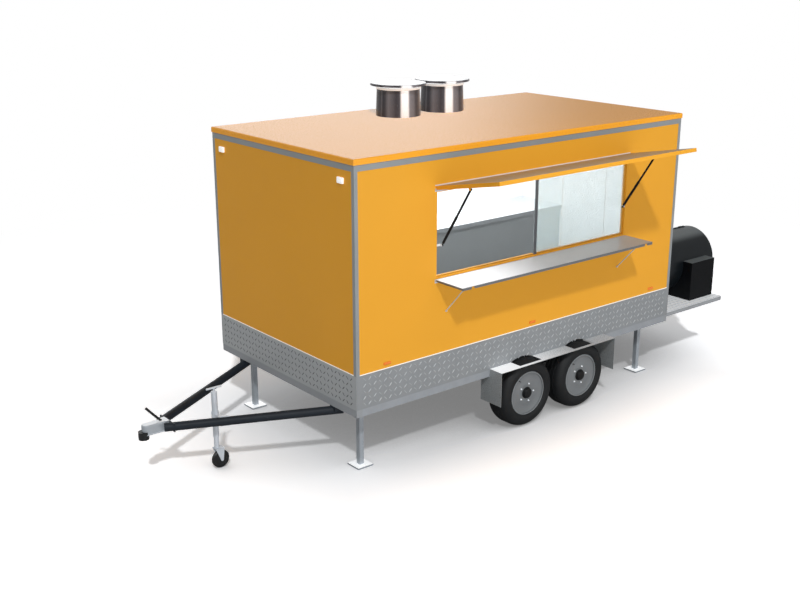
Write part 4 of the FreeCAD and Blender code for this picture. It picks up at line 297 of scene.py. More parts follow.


# The lift argument paints sky light as a glow on faces turned up
def makeFinish(name, colour, rough=0.4, metal=0.0, spread=0.05, patch=2.5, grain=180.0, relief=0.02,
               stretch=(1, 1, 1), roughSpread=0.05, zone=None, zoneColour=None, glow=0.0, sheen=0.5,
               lift=None, alpha=1.0):
    paint = bpy.data.materials.new(name)
    net = Net(paint)
    base = srgb(*colour)
    low, high = paintBase["low"], paintBase["high"]
    tint = net.mix(net.ramp(net.noise(patch, 4.0, stretch), low, high), toned(base, 1 - spread),
                   toned(base, 1 + spread))
    if zone:
        tint = net.mix(zoneOf(net, zone), tint, srgb(*zoneColour))
    fine = net.noise(grain, 2.0, stretch)
    shader = net.add("ShaderNodeBsdfPrincipled", Base_Color=tint, Metallic=metal, IOR=paintBase["index"],
                     Specular_IOR_Level=sheen, Alpha=alpha,
                     Roughness=net.ramp(fine, low, high, max(paintBase["smoothest"], rough - roughSpread),
                                        rough + roughSpread))
    if relief:
        bump = net.add("ShaderNodeBump", Strength=relief, Distance=paintBase["bumpDepth"], Height=fine)
        net.put(bump.outputs[0], shader.inputs["Normal"])
    if lift:
        # Painted sky light: a glow on faces turned up, between two places along the trailer and their
        # strengths
        start, end = [spot(place, 0, 0).x for place in lift[:2]]
        run = net.ramp(net.split(net.axes())[0], start, end, *lift[2:])
        net.put(paintBase["paintedSkyGlow"], shader.inputs["Emission Color"])
        net.put(net.sum("MULTIPLY", zoneOf(net, "top"), run), shader.inputs["Emission Strength"])
    if glow:
        net.put(base, shader.inputs["Emission Color"])
        net.put(glow, shader.inputs["Emission Strength"])
    net.close(shader)
    return paint


# Polished sheet of the roof vents, with a painted reflection: upright light and dark stripes that follow the
# angle round each drum, and a painted white highlight on faces turned up
paintedReflectionStripes = {"middles": (spot(1.775, 1.651, 0), spot(2.333, 1.651, 0)), "top": 244, "blue": 8, "metal": 0.15,
           "rough": (0.20, 0.28), "grain": 60, "stretch": (8, 8, 0.4),
           "stops": ((0.000, 105), (0.022, 46), (0.040, 60), (0.070, 118), (0.095, 104), (0.125, 70),
                     (0.152, 80), (0.166, 252), (0.214, 252), (0.226, 140), (0.262, 128), (0.285, 84),
                     (0.318, 92), (0.345, 150), (0.400, 210), (0.450, 120), (0.500, 60), (0.560, 110),
                     (0.620, 235), (0.680, 130), (0.740, 64), (0.800, 96), (0.860, 200), (0.900, 110),
                     (0.960, 60))}


def ventFinish():
    paint = bpy.data.materials.new("polished vent steel")
    net = Net(paint)
    place = net.split(net.axes())
    first, second = paintedReflectionStripes["middles"]
    beyond = net.sum("GREATER_THAN", place[0], (first.x + second.x) / 2)
    fromMiddle = net.sum("SUBTRACT", place[0], net.sum("ADD", first.x, net.sum("MULTIPLY", beyond,
                                                                                second.x - first.x)))
    turn = net.sum("ARCTAN2", net.sum("SUBTRACT", place[1], first.y), fromMiddle)
    share = net.sum("ADD", net.sum("DIVIDE", turn, 2 * math.pi), 0.5)
    ramp = net.add("ShaderNodeValToRGB", Fac=share)
    stops = ramp.color_ramp.elements
    while len(stops) < len(paintedReflectionStripes["stops"]):
        stops.new(0.5)
    for stop, (where, grey) in zip(stops, paintedReflectionStripes["stops"]):
        stop.position, stop.color = where, srgb(grey, grey, min(255, grey + paintedReflectionStripes["blue"]))
    white = srgb(paintedReflectionStripes["top"], paintedReflectionStripes["top"] + 2, paintedReflectionStripes["top"] + 4)
    tint = net.mix(zoneOf(net, "top"), ramp.outputs[0], white)
    fine = net.noise(paintedReflectionStripes["grain"], 2.0, paintedReflectionStripes["stretch"])
    rough = net.ramp(fine, paintBase["low"], paintBase["high"], *paintedReflectionStripes["rough"])
    net.close(net.add("ShaderNodeBsdfPrincipled", Base_Color=tint, Metallic=paintedReflectionStripes["metal"],
                      IOR=paintBase["index"], Roughness=rough))
    return paint


finishes = {
    "panel": makeFinish("amber panel gloss", (233, 166, 52), 0.34, 0.0, 0.008, 1.2, 90, 0.006,
                        zone="lining", zoneColour=(240, 241, 242), sheen=0.12),
    "roof": makeFinish("amber roof gloss", (252, 172, 44), 0.30, 0.0, 0.012, 1.2, 90, 0.003, sheen=0.28,
                       zone="lining", zoneColour=(240, 241, 242)),
    # Painted shade and reflection: the hatch's faces turned up are coloured brownish grey
    "hatchPanel": makeFinish("amber hatch gloss", (233, 166, 52), 0.34, 0.0, 0.010, 1.2, 90, 0.006,
                             zone="top", zoneColour=(158, 140, 118), sheen=0.12),
    "band": makeFinish("grey trim paint", (143, 148, 150), 0.40, 0.1, 0.03, 3.0, 160, 0.01),
    "chassis": makeFinish("galvanised chassis", (149, 154, 160), 0.45, 0.1, 0.04, 9.0, 60, 0.02),
    # Painted shade: the parts under the body are coloured dark, and near the body's front and rear ends they
    # are chassis grey
    "underside": makeFinish("dark underside steel", (62, 64, 67), 0.55, 0.2, 0.10, 6.0, 120, 0.05,
                            zone="ends", zoneColour=(150, 154, 158)),
    # Painted light: the plate's faces turned ahead are coloured lighter
    "plate": makeFinish("checker plate", (139, 143, 146), 0.42, 0.1, 0.03, 5.0, 140, 0.015,
                        zone="front", zoneColour=(168, 172, 174)),
    # Painted light and shade: lugs of one turn are coloured lighter than those of the other, and lugs in
    # front of the body are coloured dark
    "lugPaintedLit": makeFinish("lug painted lit", (176, 181, 185), 0.40, 0.1, 0.04, 12.0, 140, 0.01,
                            zone="nose", zoneColour=(84, 87, 90)),
    "lugPaintedShade": makeFinish("lug painted shaded", (158, 163, 166), 0.44, 0.1, 0.04, 12.0, 140, 0.01,
                          zone="nose", zoneColour=(92, 95, 98)),
    # Painted highlight: a white glowing line for light caught on the kick plate's top edge
    "plateEdgeHighlight": makeFinish("painted edge highlight", (250, 248, 240), 0.40, 0.0, 0.01, 8.0, 140, 0.0, glow=0.12),
    "drawbar": makeFinish("black drawbar paint", (29, 35, 42), 0.52, 0.0, 0.08, 8.0, 150, 0.03, sheen=0.25),
    # Painted light: the coupling's faces turned up are coloured lighter and glow faintly
    "coupling": makeFinish("coupling zinc", (168, 175, 182), 0.36, 0.15, 0.04, 14.0, 120, 0.02,
                           zone="top", zoneColour=(214, 219, 224), lift=(-3, 0, 0.16, 0.16)),
    "hubCap": makeFinish("black hub cap", (9, 10, 12), 0.50, 0.0, 0.08, 14.0, 180, 0.02, sheen=0.3),
    # Painted highlight: the wheel nuts glow
    "nut": makeFinish("bright wheel nut", (232, 236, 240), 0.30, 0.1, 0.02, 14.0, 120, 0.0, glow=0.15),
    "bracket": makeFinish("bright pivot bracket", (226, 230, 234), 0.34, 0.1, 0.03, 14.0, 120, 0.01),
    "zinc": makeFinish("bright zinc", (208, 215, 223), 0.34, 0.2, 0.04, 14.0, 120, 0.02),
    # Painted light: the legs' faces turned up, the pads' tops, are coloured white and glow
    "leg": makeFinish("galvanised leg", (158, 165, 172), 0.42, 0.15, 0.05, 12.0, 90, 0.02,
                      zone="top", zoneColour=(250, 251, 252), lift=(0, 4, 0.46, 0.46)),
    # Painted light: the fenders' faces turned up are coloured lighter and glow, more towards the front
    "fender": makeFinish("bright fender sheet", (158, 163, 165), 0.30, 0.3, 0.03, 6.0, 150, 0.01,
                         zone="top", zoneColour=(190, 192, 194), lift=(1.55, 2.60, 0.62, 0.06)),
    # Painted light: the shelf's faces turned up are coloured lighter and glow, fading out towards the rear
    "shelfSteel": makeFinish("shelf stainless", (102, 106, 109), 0.40, 0.15, 0.02, 5.0, 60, 0.010,
                             stretch=(0.3, 9, 9), zone="top", zoneColour=(160, 162, 164),
                             lift=(1.10, 1.95, 0.60, 0.0)),
    # Painted reflection stripes and a painted white top on the vents
    "ventSteel": ventFinish(),
    # Painted highlight: the vents' rims are white and glow
    "ventRimHighlight": makeFinish("vent rim highlight", (248, 250, 252), 0.22, 0.0, 0.01, 8.0, 90, 0.004, glow=0.35),
    "rim": makeFinish("grey wheel paint", (116, 120, 123), 0.42, 0.1, 0.03, 10.0, 160, 0.015),
    "rimEdge": makeFinish("wheel lip", (142, 147, 150), 0.36, 0.1, 0.03, 10.0, 160, 0.01),
    "rubber": makeFinish("tyre rubber", (21, 23, 25), 0.58, 0.0, 0.10, 14.0, 220, 0.04, sheen=0.3),
    "black": makeFinish("black fitting", (14, 16, 18), 0.45, 0.0, 0.08, 14.0, 180, 0.02),
    "strut": makeFinish("black strut paint", (8, 9, 11), 0.55, 0.0, 0.05, 10.0, 180, 0.01, sheen=0.2),
    # Painted highlight: the smoker's faces turned up are coloured grey
    "smoker": makeFinish("smoker black", (9, 15, 19), 0.38, 0.0, 0.10, 7.0, 110, 0.04,
                         zone="top", zoneColour=(96, 102, 104), sheen=0.40),
    # Painted highlight: the firebox's faces turned up are coloured grey
    "firebox": makeFinish("firebox black", (4, 6, 9), 0.55, 0.0, 0.10, 9.0, 130, 0.04,
                          zone="top", zoneColour=(92, 98, 100), sheen=0.15),
    # Painted light: the counter's faces turned up are coloured near white
    "counterTop": makeFinish("counter stainless", (112, 116, 118), 0.30, 0.1, 0.02, 4.0, 90, 0.008,
                             stretch=(0.4, 8, 8), zone="top", zoneColour=(226, 231, 235)),
    "cabinet": makeFinish("cabinet grey", (110, 114, 115), 0.45, 0.1, 0.02, 3.0, 120, 0.01),
    "floor": makeFinish("cabin floor", (120, 122, 124), 0.55, 0.0, 0.08, 12.0, 200, 0.04),
    # Painted light: the deck's faces turned up are coloured near white and glow
    "deck": makeFinish("deck aluminium", (156, 160, 164), 0.36, 0.2, 0.05, 9.0, 120, 0.03,
                       zone="top", zoneColour=(236, 238, 240), lift=(3.9, 5.0, 0.22, 0.22)),
    "frameTrim": makeFinish("window track", (204, 148, 44), 0.38, 0.1, 0.03, 9.0, 150, 0.01,
                            zone="mullion", zoneColour=(92, 97, 102)),
    "glass": makeFinish("window glass", (222, 238, 240), 0.10, 0.0, 0.01, 1.0, 20, 0.0, roughSpread=0.01,
                        sheen=0.2, alpha=0.26),
    "lampWhite": makeFinish("white lamp lens", (250, 250, 248), 0.16, 0.0, 0.02, 30.0, 90, 0.01, glow=0.35),
    "lampAmber": makeFinish("amber lamp lens", (230, 126, 48), 0.14, 0.0, 0.05, 40.0, 90, 0.01, glow=0.10),
    "lampRed": makeFinish("red lamp lens", (176, 22, 20), 0.14, 0.0, 0.05, 40.0, 90, 0.01, glow=0.08),
}

nodeFinishes = {
    "panel": ("front_wall", "rear_wall", "service_wall", "plain_wall", "door_leaf"),
    "roof": ("roof_panel",),
    "hatchPanel": ("hatch_panel",),
    "band": ("roof_band", "corner_posts"),
    "chassis": ("chassis_rails",),
    "underside": ("cross_members", "axle_tubes", "leaf_springs", "spring_hangers", "wheel_boxes"),
    "plate": ("kick_plates",),
    "drawbar": ("drawbar",),
    "zinc": ("jockey_tube", "jockey_handle", "jockey_leg", "jockey_fork", "hinge_leaves", "hatch_leaf",
             "shelf_stays"),
    "coupling": ("coupling_head",),
    "bracket": ("pivot_brackets",),
    "leg": ("leg_brackets", "drop_legs"),
    "fender": ("fenders",),
    "shelfSteel": ("shelf_panel",),
    "ventSteel": ("roof_vents",),
    "black": ("ball_cup", "coupling_lever", "jockey_wheel"),
    "strut": ("strut_tubes", "strut_rods"),
    "smoker": ("smoker_barrel", "smoker_lid", "smoker_grate"),
    "firebox": ("firebox", "firebox_door"),
    "counterTop": ("counter_top",),
    "cabinet": ("counter_cabinet",),
    "floor": ("floor",),
    "deck": ("porch_deck",),
    "frameTrim": ("window_frame",),
    "glass": ("window_glass",),
}
for finishName, names in nodeFinishes.items():
    for name in names:
        nodes[name].data.materials.clear()
        nodes[name].data.materials.append(finishes[finishName])
print("finishes set:", len(finishes))


# Turns a bmesh into a piece that rides on its body
def makePiece(name, shape, finish, body, stands=(), smooth=True):
    bmesh.ops.recalc_face_normals(shape, faces=shape.faces)
    data = bpy.data.meshes.new(name)
    shape.to_mesh(data)
    shape.free()
    data.materials.append(finishes[finish])
    if smooth:
        for face in data.polygons:
            face.use_smooth = True
        data.set_sharp_from_angle(angle=math.radians(paintBase["sharpAngle"]))
    piece = link(bpy.data.objects.new(name, data))
    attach(piece, body)
    if stands:
        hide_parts(*stands)
    return piece


def addBlock(shape, low, high, bevel=0.0, segments=2):
    low, high = Vector(low), Vector(high)
    made = bmesh.ops.create_cube(shape, size=1.0)["verts"]
    bmesh.ops.scale(shape, vec=high - low, verts=made)
    bmesh.ops.translate(shape, vec=(low + high) / 2, verts=made)
    if bevel:
        edges = list({edge for vert in made for edge in vert.link_edges})
        bmesh.ops.bevel(shape, geom=edges, offset=bevel, segments=segments, profile=0.5, affect="EDGES",
                        material=-1)


def addRod(shape, start, end, radius, endRadius=None, segments=24):
    start, end = Vector(start), Vector(end)
    run = end - start
    turn = run.to_track_quat("Z", "Y").to_matrix().to_4x4()
    bmesh.ops.create_cone(shape, cap_ends=True, cap_tris=False, segments=segments, radius1=radius,
                          radius2=radius if endRadius is None else endRadius, depth=run.length,
                          matrix=Matrix.Translation((start + end) / 2) @ turn)


mergeGap = 0.00002


# Spins an outline of (radius, along) points round an axis through the centre
def addTurned(shape, outline, centre, axis, steps=64):
    axis, centre = Vector(axis).normalized(), Vector(centre)
    side = axis.orthogonal().normalized()
    ring = [shape.verts.new(centre + side * radius + axis * along) for radius, along in outline]
    edges = [shape.edges.new(pair) for pair in zip(ring, ring[1:] + ring[:1])]
    bmesh.ops.spin(shape, geom=ring + edges, cent=centre, axis=axis, angle=2 * math.pi, steps=steps,
                   use_merge=True)
    bmesh.ops.remove_doubles(shape, verts=shape.verts, dist=mergeGap)


screwShape = {"radius": 0.005, "rise": 0.002, "sunk": 0.0005, "taper": 0.55, "sides": 8}


def addScrews(shape, places, normal):
    foot, head = -Vector(normal) * screwShape["sunk"], Vector(normal) * screwShape["rise"]
    radius, tip = screwShape["radius"], screwShape["radius"] * screwShape["taper"]
    for place in places:
        addRod(shape, Vector(place) + foot, Vector(place) + head, radius, tip, screwShape["sides"])


def alongLine(start, end, gap):
    start, end = Vector(start), Vector(end)
    count = max(1, round((end - start).length / gap))
    return [start.lerp(end, index / count) for index in range(count + 1)]


tyreShape = {"bead": 0.2053, "grooveDepth": 0.006, "grooveHalf": 0.004, "grooveFrom": 0.044,
             "grooveTaper": 0.7, "steps": 96, "blockBand": 0.50, "bandHalf": 0.10, "crownDepth": 0.003,
             "blockInset": 0.0022, "blockDepth": 0.002, "blockStep": 3,
             "wall": ((0.0, 0.80), (0.06, 0.90), (0.20, 0.965), (0.38, 1.0), (0.54, 0.98),
                      (0.68, 0.925), (0.80, 0.84), (0.885, 0.74), (0.94, 0.64), (0.975, 0.54))}
wheelFace = {"discInset": 0.034, "sunk": -0.001, "pole": 0.0001, "steps": 96,
             "nuts": 5, "nutCircle": 0.087, "nutRadius": 0.0062, "nutRise": 0.011, "nutTaper": 0.86,
             "nutSides": 6, "nutSunk": 0.75, "washer": 1.25, "washerRise": 0.004, "washerSides": 20,
             "capRadius": 0.055, "capRise": 0.030, "capSteps": 48,
             "cap": ((0.55, 1.0), (0.78, 0.90), (0.86, 0.72), (0.90, 0.30), (1.0, 0.16)),
             "ringHalf": 0.0024, "ringInset": 0.004, "ringRise": 0.0012, "ringPlace": 0.875,
             "valveCircle": 0.165, "valveTurn": 2.2, "valveRise": 0.020, "valveRadius": 0.0045,
             "valveTip": 0.0032, "valveSides": 12}
# Section of a wheel: the hub's points by radius, the others by how far they stand past the bead.
# The second number runs along the axle, and for the lips it is a share of half the width.
rimShape = {"hub": ((0.031, 0.0), (0.062, 0.0), (0.068, -0.002), (0.106, -0.002), (0.112, 0.0)),
            "dish": ((-0.020, 0.0), (-0.014, -0.003), (-0.007, -0.004)),
            "lips": ((-0.0045, -0.84), (0.002, -0.87), (0.004, -0.855), (0.004, -0.835), (-0.001, -0.82),
                     (-0.001, 0.82), (0.004, 0.835), (0.004, 0.87), (-0.006, 0.87)),
            "sheet": 0.006, "back": ((-0.006, 0.004), (-0.014, 0.0))}


def tyreOutline(radius, half, bead):
    wall = radius - bead
    side = [(bead + wall * up, half * out) for up, out in tyreShape["wall"]]
    deep, wide, far = tyreShape["grooveDepth"], tyreShape["grooveHalf"], tyreShape["grooveFrom"]
    floor = wide * tyreShape["grooveTaper"]
    crown = [(radius, far + wide), (radius - deep, far + floor), (radius - deep, far - floor),
             (radius, far - wide), (radius, wide), (radius - deep, floor)]
    outer = side + crown
    return outer + [(r, -along) for r, along in reversed(outer)]


# Flange, flat disc and barrel of a wheel, from the outer lip inwards, as one closed sheet section
def rimOutline(bead, half, inset):
    face = -half + inset
    back = face + rimShape["sheet"]
    front = [(r, face + along) for r, along in rimShape["hub"]]
    dish = [(bead + past, face + along) for past, along in rimShape["dish"]]
    lips = [(bead + past, half * share) for past, share in rimShape["lips"]]
    rear = [(bead + past, back + along) for past, along in rimShape["back"]]
    return front + dish + lips + rear + [(rimShape["hub"][0][0], back)]


for wheel in ("front_service", "front_plain", "rear_service", "rear_plain"):
    low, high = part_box("tyre_" + wheel)
    centre = (low + high) / 2
    radius, half, bead = (high.z - low.z) / 2, (high.y - low.y) / 2, tyreShape["bead"]
    outward = -1.0 if wheel.endswith("service") else 1.0
    body = "wheel_" + wheel
    shape = bmesh.new()
    addTurned(shape, tyreOutline(radius, half, bead), centre, (0, 1, 0), tyreShape["steps"])
    blocks = [face for face in shape.faces
              if abs(abs((face.calc_center_median() - centre).y) - half * tyreShape["blockBand"])
              < half * tyreShape["bandHalf"]
              and (face.calc_center_median() - centre).xz.length > radius - tyreShape["crownDepth"]]
    blocks.sort(key=lambda face: (face.calc_center_median().y > centre.y,
                                  math.atan2(*(face.calc_center_median() - centre).xz)))
    bmesh.ops.inset_individual(shape, faces=blocks[::tyreShape["blockStep"]],
                               thickness=tyreShape["blockInset"], depth=-tyreShape["blockDepth"])
    makePiece("tyre_" + wheel + "_road", shape, "rubber", body, ["tyre_" + wheel])
    shape = bmesh.new()
    outline = [(r, -along * outward) for r, along in rimOutline(bead, half, wheelFace["discInset"])]
    addTurned(shape, outline, centre, (0, 1, 0), wheelFace["steps"])
    makePiece("rim_" + wheel + "_disc", shape, "rim", body, ["rim_" + wheel])
    faceY = centre.y + outward * (half - wheelFace["discInset"])
    shape = bmesh.new()
    for index in range(wheelFace["nuts"]):
        angle = 2 * math.pi * index / wheelFace["nuts"]
        base = Vector((centre.x + wheelFace["nutCircle"] * math.cos(angle), faceY,
                       centre.z + wheelFace["nutCircle"] * math.sin(angle)))
        washer, nut = [Vector((0, outward * wheelFace[rise], 0)) for rise in ("washerRise", "nutRise")]
        addRod(shape, base, base + washer, wheelFace["nutRadius"] * wheelFace["washer"],
               segments=wheelFace["washerSides"])
        addRod(shape, base + washer * wheelFace["nutSunk"], base + nut, wheelFace["nutRadius"],
               wheelFace["nutRadius"] * wheelFace["nutTaper"], wheelFace["nutSides"])
    makePiece("nuts_" + wheel, shape, "nut", body)
    shape = bmesh.new()
    ring, rise = wheelFace["ringHalf"], wheelFace["ringRise"]
    ringRadius, ringY = bead - wheelFace["ringInset"], centre.y + outward * half * wheelFace["ringPlace"]
    sunk, pole = wheelFace["sunk"], wheelFace["pole"]
    addTurned(shape, [(ringRadius - ring, sunk), (ringRadius - ring, rise), (ringRadius + ring, rise),
                      (ringRadius + ring, sunk)],
              (centre.x, ringY, centre.z), (0, outward, 0), wheelFace["steps"])
    makePiece("lip_" + wheel, shape, "rimEdge", body)
    shape = bmesh.new()
    cap, rise = wheelFace["capRadius"], wheelFace["capRise"]
    addTurned(shape, [(pole, rise)] + [(cap * out, rise * up) for out, up in wheelFace["cap"]]
              + [(cap, sunk), (pole, sunk)],
              (centre.x, faceY, centre.z), (0, outward, 0), wheelFace["capSteps"])
    makePiece("cap_" + wheel, shape, "hubCap", body)
    shape = bmesh.new()
    across = Vector((math.cos(wheelFace["valveTurn"]), 0, math.sin(wheelFace["valveTurn"])))
    foot = Vector((centre.x, faceY, centre.z)) + across * wheelFace["valveCircle"]
    addRod(shape, foot, foot + Vector((0, outward * wheelFace["valveRise"], 0)), wheelFace["valveRadius"],
           wheelFace["valveTip"], wheelFace["valveSides"])
    makePiece("valve_" + wheel, shape, "black", body)
print("road wheels made")

lugShape = {"pitch": 0.054, "length": 0.044, "width": 0.0105, "rise": 0.0022, "edge": 0.024, "taper": 0.52,
            "proud": 0.4, "sides": 8, "turn": math.pi / 4, "fenderGap": 0.03}
plateLow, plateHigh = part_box("kick_plates")
fenderLow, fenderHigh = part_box("fenders")
plateTall = plateHigh.z - plateLow.z
bodySize = {"long": 4.0, "wide": 2.13, "post": 0.033}


def overFender(middle):
    gap = lugShape["fenderGap"]
    return fenderLow.x - gap < middle.x < fenderHigh.x + gap and middle.z < fenderHigh.z + gap


# Raised lugs that turn by a quarter from cell to cell over a flat stretch of plate
def addLugs(shapes, corner, across, up, width, height, skip=None):
    across, up = Vector(across), Vector(up)
    normal = across.cross(up)
    basis = Matrix((across, up, normal)).transposed()
    pitch = lugShape["pitch"]
    columns = int((width - 2 * lugShape["edge"]) / pitch) + 1
    rows = int((height - 2 * lugShape["edge"]) / pitch) + 1
    start = (Vector(corner) + across * (width - (columns - 1) * pitch) / 2
             + up * (height - (rows - 1) * pitch) / 2)
    for column in range(columns):
        for row in range(rows):
            middle = start + across * column * pitch + up * row * pitch
            if skip and skip(middle):
                continue
            # Lugs of one turn go to the painted lit finish, the others to the painted shaded one
            rising = (column + row) % 2
            shape = shapes[rising]
            made = bmesh.ops.create_cone(shape, cap_ends=True, cap_tris=False, segments=lugShape["sides"],
                                         radius1=0.5, radius2=0.5 * lugShape["taper"], depth=1.0)["verts"]
            bmesh.ops.scale(shape, vec=(lugShape["length"], lugShape["width"], lugShape["rise"]), verts=made)
            turn = lugShape["turn"] if rising else -lugShape["turn"]
            bmesh.ops.rotate(shape, matrix=Matrix.Rotation(turn, 3, "Z"), verts=made)
            bmesh.ops.rotate(shape, matrix=basis, verts=made)
            bmesh.ops.translate(shape, verts=made,
                                vec=middle + normal * lugShape["rise"] * lugShape["proud"])


post, long, wide = bodySize["post"], bodySize["long"], bodySize["wide"]
shapes = (bmesh.new(), bmesh.new())
up, sideLong = (0, 0, 1), long - 2 * post
addLugs(shapes, (bodyOrigin.x + post, plateLow.y, plateLow.z), (1, 0, 0), up, sideLong, plateTall,
        overFender)
addLugs(shapes, (bodyOrigin.x + long - post, plateHigh.y, plateLow.z), (-1, 0, 0), up, sideLong, plateTall,
        overFender)
addLugs(shapes, (plateLow.x, plateHigh.y - post, plateLow.z), (0, -1, 0), up, wide - 2 * post, plateTall)
makePiece("kick_lugs_painted_shade", shapes[0], "lugPaintedShade", "trailer", smooth=False)
makePiece("kick_lugs_painted_lit", shapes[1], "lugPaintedLit", "trailer", smooth=False)
print("checker plate lugs made")

# Painted highlight along the kick plate's top edge: a thin white glowing strip
edgeStrip = {"tall": 0.007, "deep": 0.0012}
top, tall, deep = plateHigh.z, edgeStrip["tall"], edgeStrip["deep"]
shape = bmesh.new()
for low, high in (((post, plateLow.y - bodyOrigin.y - deep, top), (long - post, 0.0, top + tall)),
                  ((post, wide, top), (long - post, plateHigh.y - bodyOrigin.y + deep, top + tall)),
                  ((plateLow.x - bodyOrigin.x - deep, post, top), (0.0, wide - post, top + tall))):
    addBlock(shape, spot(*low), spot(*high))
makePiece("plate_edges", shape, "plateEdgeHighlight", "trailer", smooth=False)

# Rims round the vents' tops, carrying a painted white highlight
ventShape = {"places": (1.775, 2.333), "side": 1.651, "radius": 0.207, "proud": 0.009, "tall": 0.022,
             "rise": 0.265, "inner": 0.004, "corner": 0.7, "cornerRise": 0.25, "steps": 72}
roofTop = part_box("roof_panel")[1].z
shape = bmesh.new()
for place in ventShape["places"]:
    base = spot(place, ventShape["side"], roofTop + ventShape["rise"] - ventShape["tall"] / 2)
    radius, proud, tall = ventShape["radius"], ventShape["proud"], ventShape["tall"]
    inner, corner = radius - ventShape["inner"], radius + proud * ventShape["corner"]
    low, high = tall * ventShape["cornerRise"], tall * (1 - ventShape["cornerRise"])
    addTurned(shape, [(inner, 0.0), (corner, 0.0), (radius + proud, low), (radius + proud, high),
                      (corner, tall), (inner, tall)], base, (0, 0, 1), ventShape["steps"])
rims = makePiece("vent_rims", shape, "ventRimHighlight", "trailer")
nodes["roof_vents"].visible_glossy = False  # the matt roof of the photo shows no mirror image of them
rims.visible_glossy = False
print("edges and vent rims made")

# Round ends that carry the two drawbar tubes past the nose plate to the coupling's sides
tipShape = {"nose": (-1.158, 0.087, 0.474), "run": (-0.8838, -0.4671, -0.0282), "length": 0.072,
            "radius": 0.0368, "sides": 32}
middle = bodySize["wide"] / 2
shape = bmesh.new()
for side in (-1, 1):
    nose = Vector((tipShape["nose"][0], middle + side * tipShape["nose"][1], tipShape["nose"][2]))
    run = Vector((tipShape["run"][0], side * tipShape["run"][1], tipShape["run"][2]))
    addRod(shape, spot(*nose), spot(*(nose + run * tipShape["length"])), tipShape["radius"],
           segments=tipShape["sides"])
makePiece("drawbar_tips", shape, "drawbar", "trailer")

leverGrip = {"foot": (-1.2273, 0.520), "tip": (-1.3473, 0.655), "from": 0.12, "to": 1.02,
             "radius": 0.0108, "sides": 20}
foot, tip = [Vector((x, middle, z)) for x, z in (leverGrip["foot"], leverGrip["tip"])]
shape = bmesh.new()
addRod(shape, spot(*foot.lerp(tip, leverGrip["from"])), spot(*foot.lerp(tip, leverGrip["to"])),
       leverGrip["radius"], segments=leverGrip["sides"])
makePiece("lever_grip", shape, "black", "trailer")

hingeStrip = {"low": (0.825, -0.004, 2.388), "high": (3.258, 0.0, 2.396)}
shape = bmesh.new()
addBlock(shape, spot(*hingeStrip["low"]), spot(*hingeStrip["high"]))
makePiece("hinge_drip_strip", shape, "bracket", "trailer", smooth=False)

# Guards over the gas struts' rods, open on the side that passes the jamb's bracket
sleeve = {"foot": (-0.010, 1.880), "head": (-0.34972, 2.40579), "places": (0.900, 3.183), "bore": 0.0106,
          "radius": 0.0120, "start": 0.026, "plug": 0.004, "end": 0.320, "neck": 0.0052, "flat": 0.0092,
          "steps": 28}
shape = bmesh.new()
for place, outward in zip(sleeve["places"], (-1, 1)):
    foot, head = [Vector((place, y, z)) for y, z in (sleeve["foot"], sleeve["head"])]
    part = bmesh.new()
    start, inside = sleeve["start"], sleeve["start"] + sleeve["plug"]
    addTurned(part, [(sleeve["neck"], start), (sleeve["radius"], start), (sleeve["radius"], sleeve["end"]),
                     (sleeve["bore"], sleeve["end"]), (sleeve["bore"], inside), (sleeve["neck"], inside)],
              spot(*foot), head - foot, sleeve["steps"])
    bmesh.ops.bisect_plane(part, geom=part.verts[:] + part.edges[:] + part.faces[:],
                           plane_co=spot(place + outward * sleeve["flat"], 0, 0), plane_no=(outward, 0, 0),
                           clear_outer=True)
    bmesh.ops.holes_fill(part, edges=[edge for edge in part.edges if edge.is_boundary], sides=0)
    data = bpy.data.meshes.new("sleevePart")
    part.to_mesh(data)
    part.free()
    shape.from_mesh(data)
    bpy.data.meshes.remove(data)
makePiece("strut_sleeves", shape, "strut", "strut_rams")

# Front edge of the shelf, open where the stays pass when it is folded
shelfEdge = {"inset": 0.002, "proud": 0.0015, "below": 0.004, "stays": (0.950, 3.151), "gap": 0.020,
             "sunk": 0.0002, "under": 0.0005}
low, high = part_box("shelf_panel")
stops = [low.x + shelfEdge["inset"]]
for place in shelfEdge["stays"]:
    stops += [spot(place - shelfEdge["gap"], 0, 0).x, spot(place + shelfEdge["gap"], 0, 0).x]
stops.append(high.x - shelfEdge["inset"])
shape = bmesh.new()
for first, last in zip(stops[::2], stops[1::2]):
    addBlock(shape, (first, low.y - shelfEdge["proud"], low.z - shelfEdge["below"]),
             (last, low.y + shelfEdge["sunk"], high.z - shelfEdge["under"]))
makePiece("shelf_edge", shape, "shelfSteel", "shelf", smooth=False)
print("drawbar tips, grip, strip, sleeves and edge made")

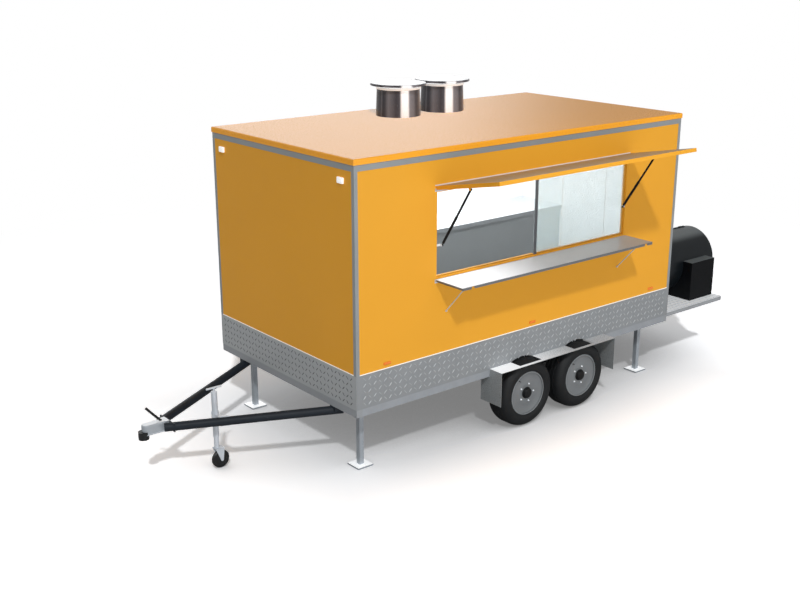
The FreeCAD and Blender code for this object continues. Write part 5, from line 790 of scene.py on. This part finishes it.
# Screws in the corner posts and the roof band
screwRows = {"inset": 0.0165, "end": 0.06, "gap": 0.30}
postLow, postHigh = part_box("corner_posts")
bandLow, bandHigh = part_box("roof_band")
shape = bmesh.new()
inset, end = screwRows["inset"], screwRows["end"]
front, rear = bodyOrigin.x, bodyOrigin.x + long
near, far = bodyOrigin.y, bodyOrigin.y + wide
foot, head = postLow.z + end, postHigh.z - end
height = (bandLow.z + bandHigh.z) / 2
rows = []
for y, facing in ((postLow.y, -1), (postHigh.y, 1)):
    rows += [((x, y, foot), (x, y, head), (0, facing, 0)) for x in (front + inset, rear - inset)]
for x, facing in ((postLow.x, -1), (postHigh.x, 1)):
    rows += [((x, y, foot), (x, y, head), (facing, 0, 0)) for y in (near + inset, far - inset)]
rows += [((front + end, y, height), (rear - end, y, height), (0, facing, 0))
         for y, facing in ((bandLow.y, -1), (bandHigh.y, 1))]
rows += [((x, near + end, height), (x, far - end, height), (facing, 0, 0))
         for x, facing in ((bandLow.x, -1), (bandHigh.x, 1))]
for start, stop, normal in rows:
    addScrews(shape, alongLine(start, stop, screwRows["gap"]), normal)
makePiece("trim_screws", shape, "band", "trailer")

ceilingLamp = {"half": (0.55, 0.06), "deep": 0.030, "bevel": 0.008}
shape = bmesh.new()
for place in cabinLamp["places"]:
    under = spot(place, cabinLamp["side"], cabin["high"].z)
    reach = Vector((*ceilingLamp["half"], 0))
    addBlock(shape, under - reach - Vector((0, 0, ceilingLamp["deep"])), under + reach, ceilingLamp["bevel"])
makePiece("ceiling_lamps", shape, "lampWhite", "trailer")
print("screws and ceiling lamps made")

lampShape = {"bevel": 0.006, "segments": 3, "shares": (3, 3, 4), "markers": (0.318, 2.016, 3.7),
             "half": 0.0375, "markerLow": 0.957, "markerHigh": 0.979,
             "sides": ((-0.010, 0.0), (2.130, 2.140))}
lampPlaces = {
    "lampWhite": [((-0.020, 0.127, 2.490), (0.0, 0.203, 2.540)),
                  ((-0.020, 1.927, 2.490), (0.0, 2.003, 2.540))],
    "lampAmber": [((place - lampShape["half"], near, lampShape["markerLow"]),
                   (place + lampShape["half"], far, lampShape["markerHigh"]))
                  for near, far in lampShape["sides"] for place in lampShape["markers"]],
    "lampRed": [((4.0, 0.120, 0.985), (4.020, 0.180, 1.135)), ((4.0, 1.950, 0.985), (4.020, 2.010, 1.135))],
}
for finishName, places in lampPlaces.items():
    shape = bmesh.new()
    for low, high in places:
        bevel = min([lampShape["bevel"]] + [(end - start) / share
                                            for start, end, share in zip(low, high, lampShape["shares"])])
        addBlock(shape, spot(*low), spot(*high), bevel, lampShape["segments"])
    makePiece("lens" + finishName.removeprefix("lamp"), shape, finishName, "trailer", ["lamps"])
print("lamps made")
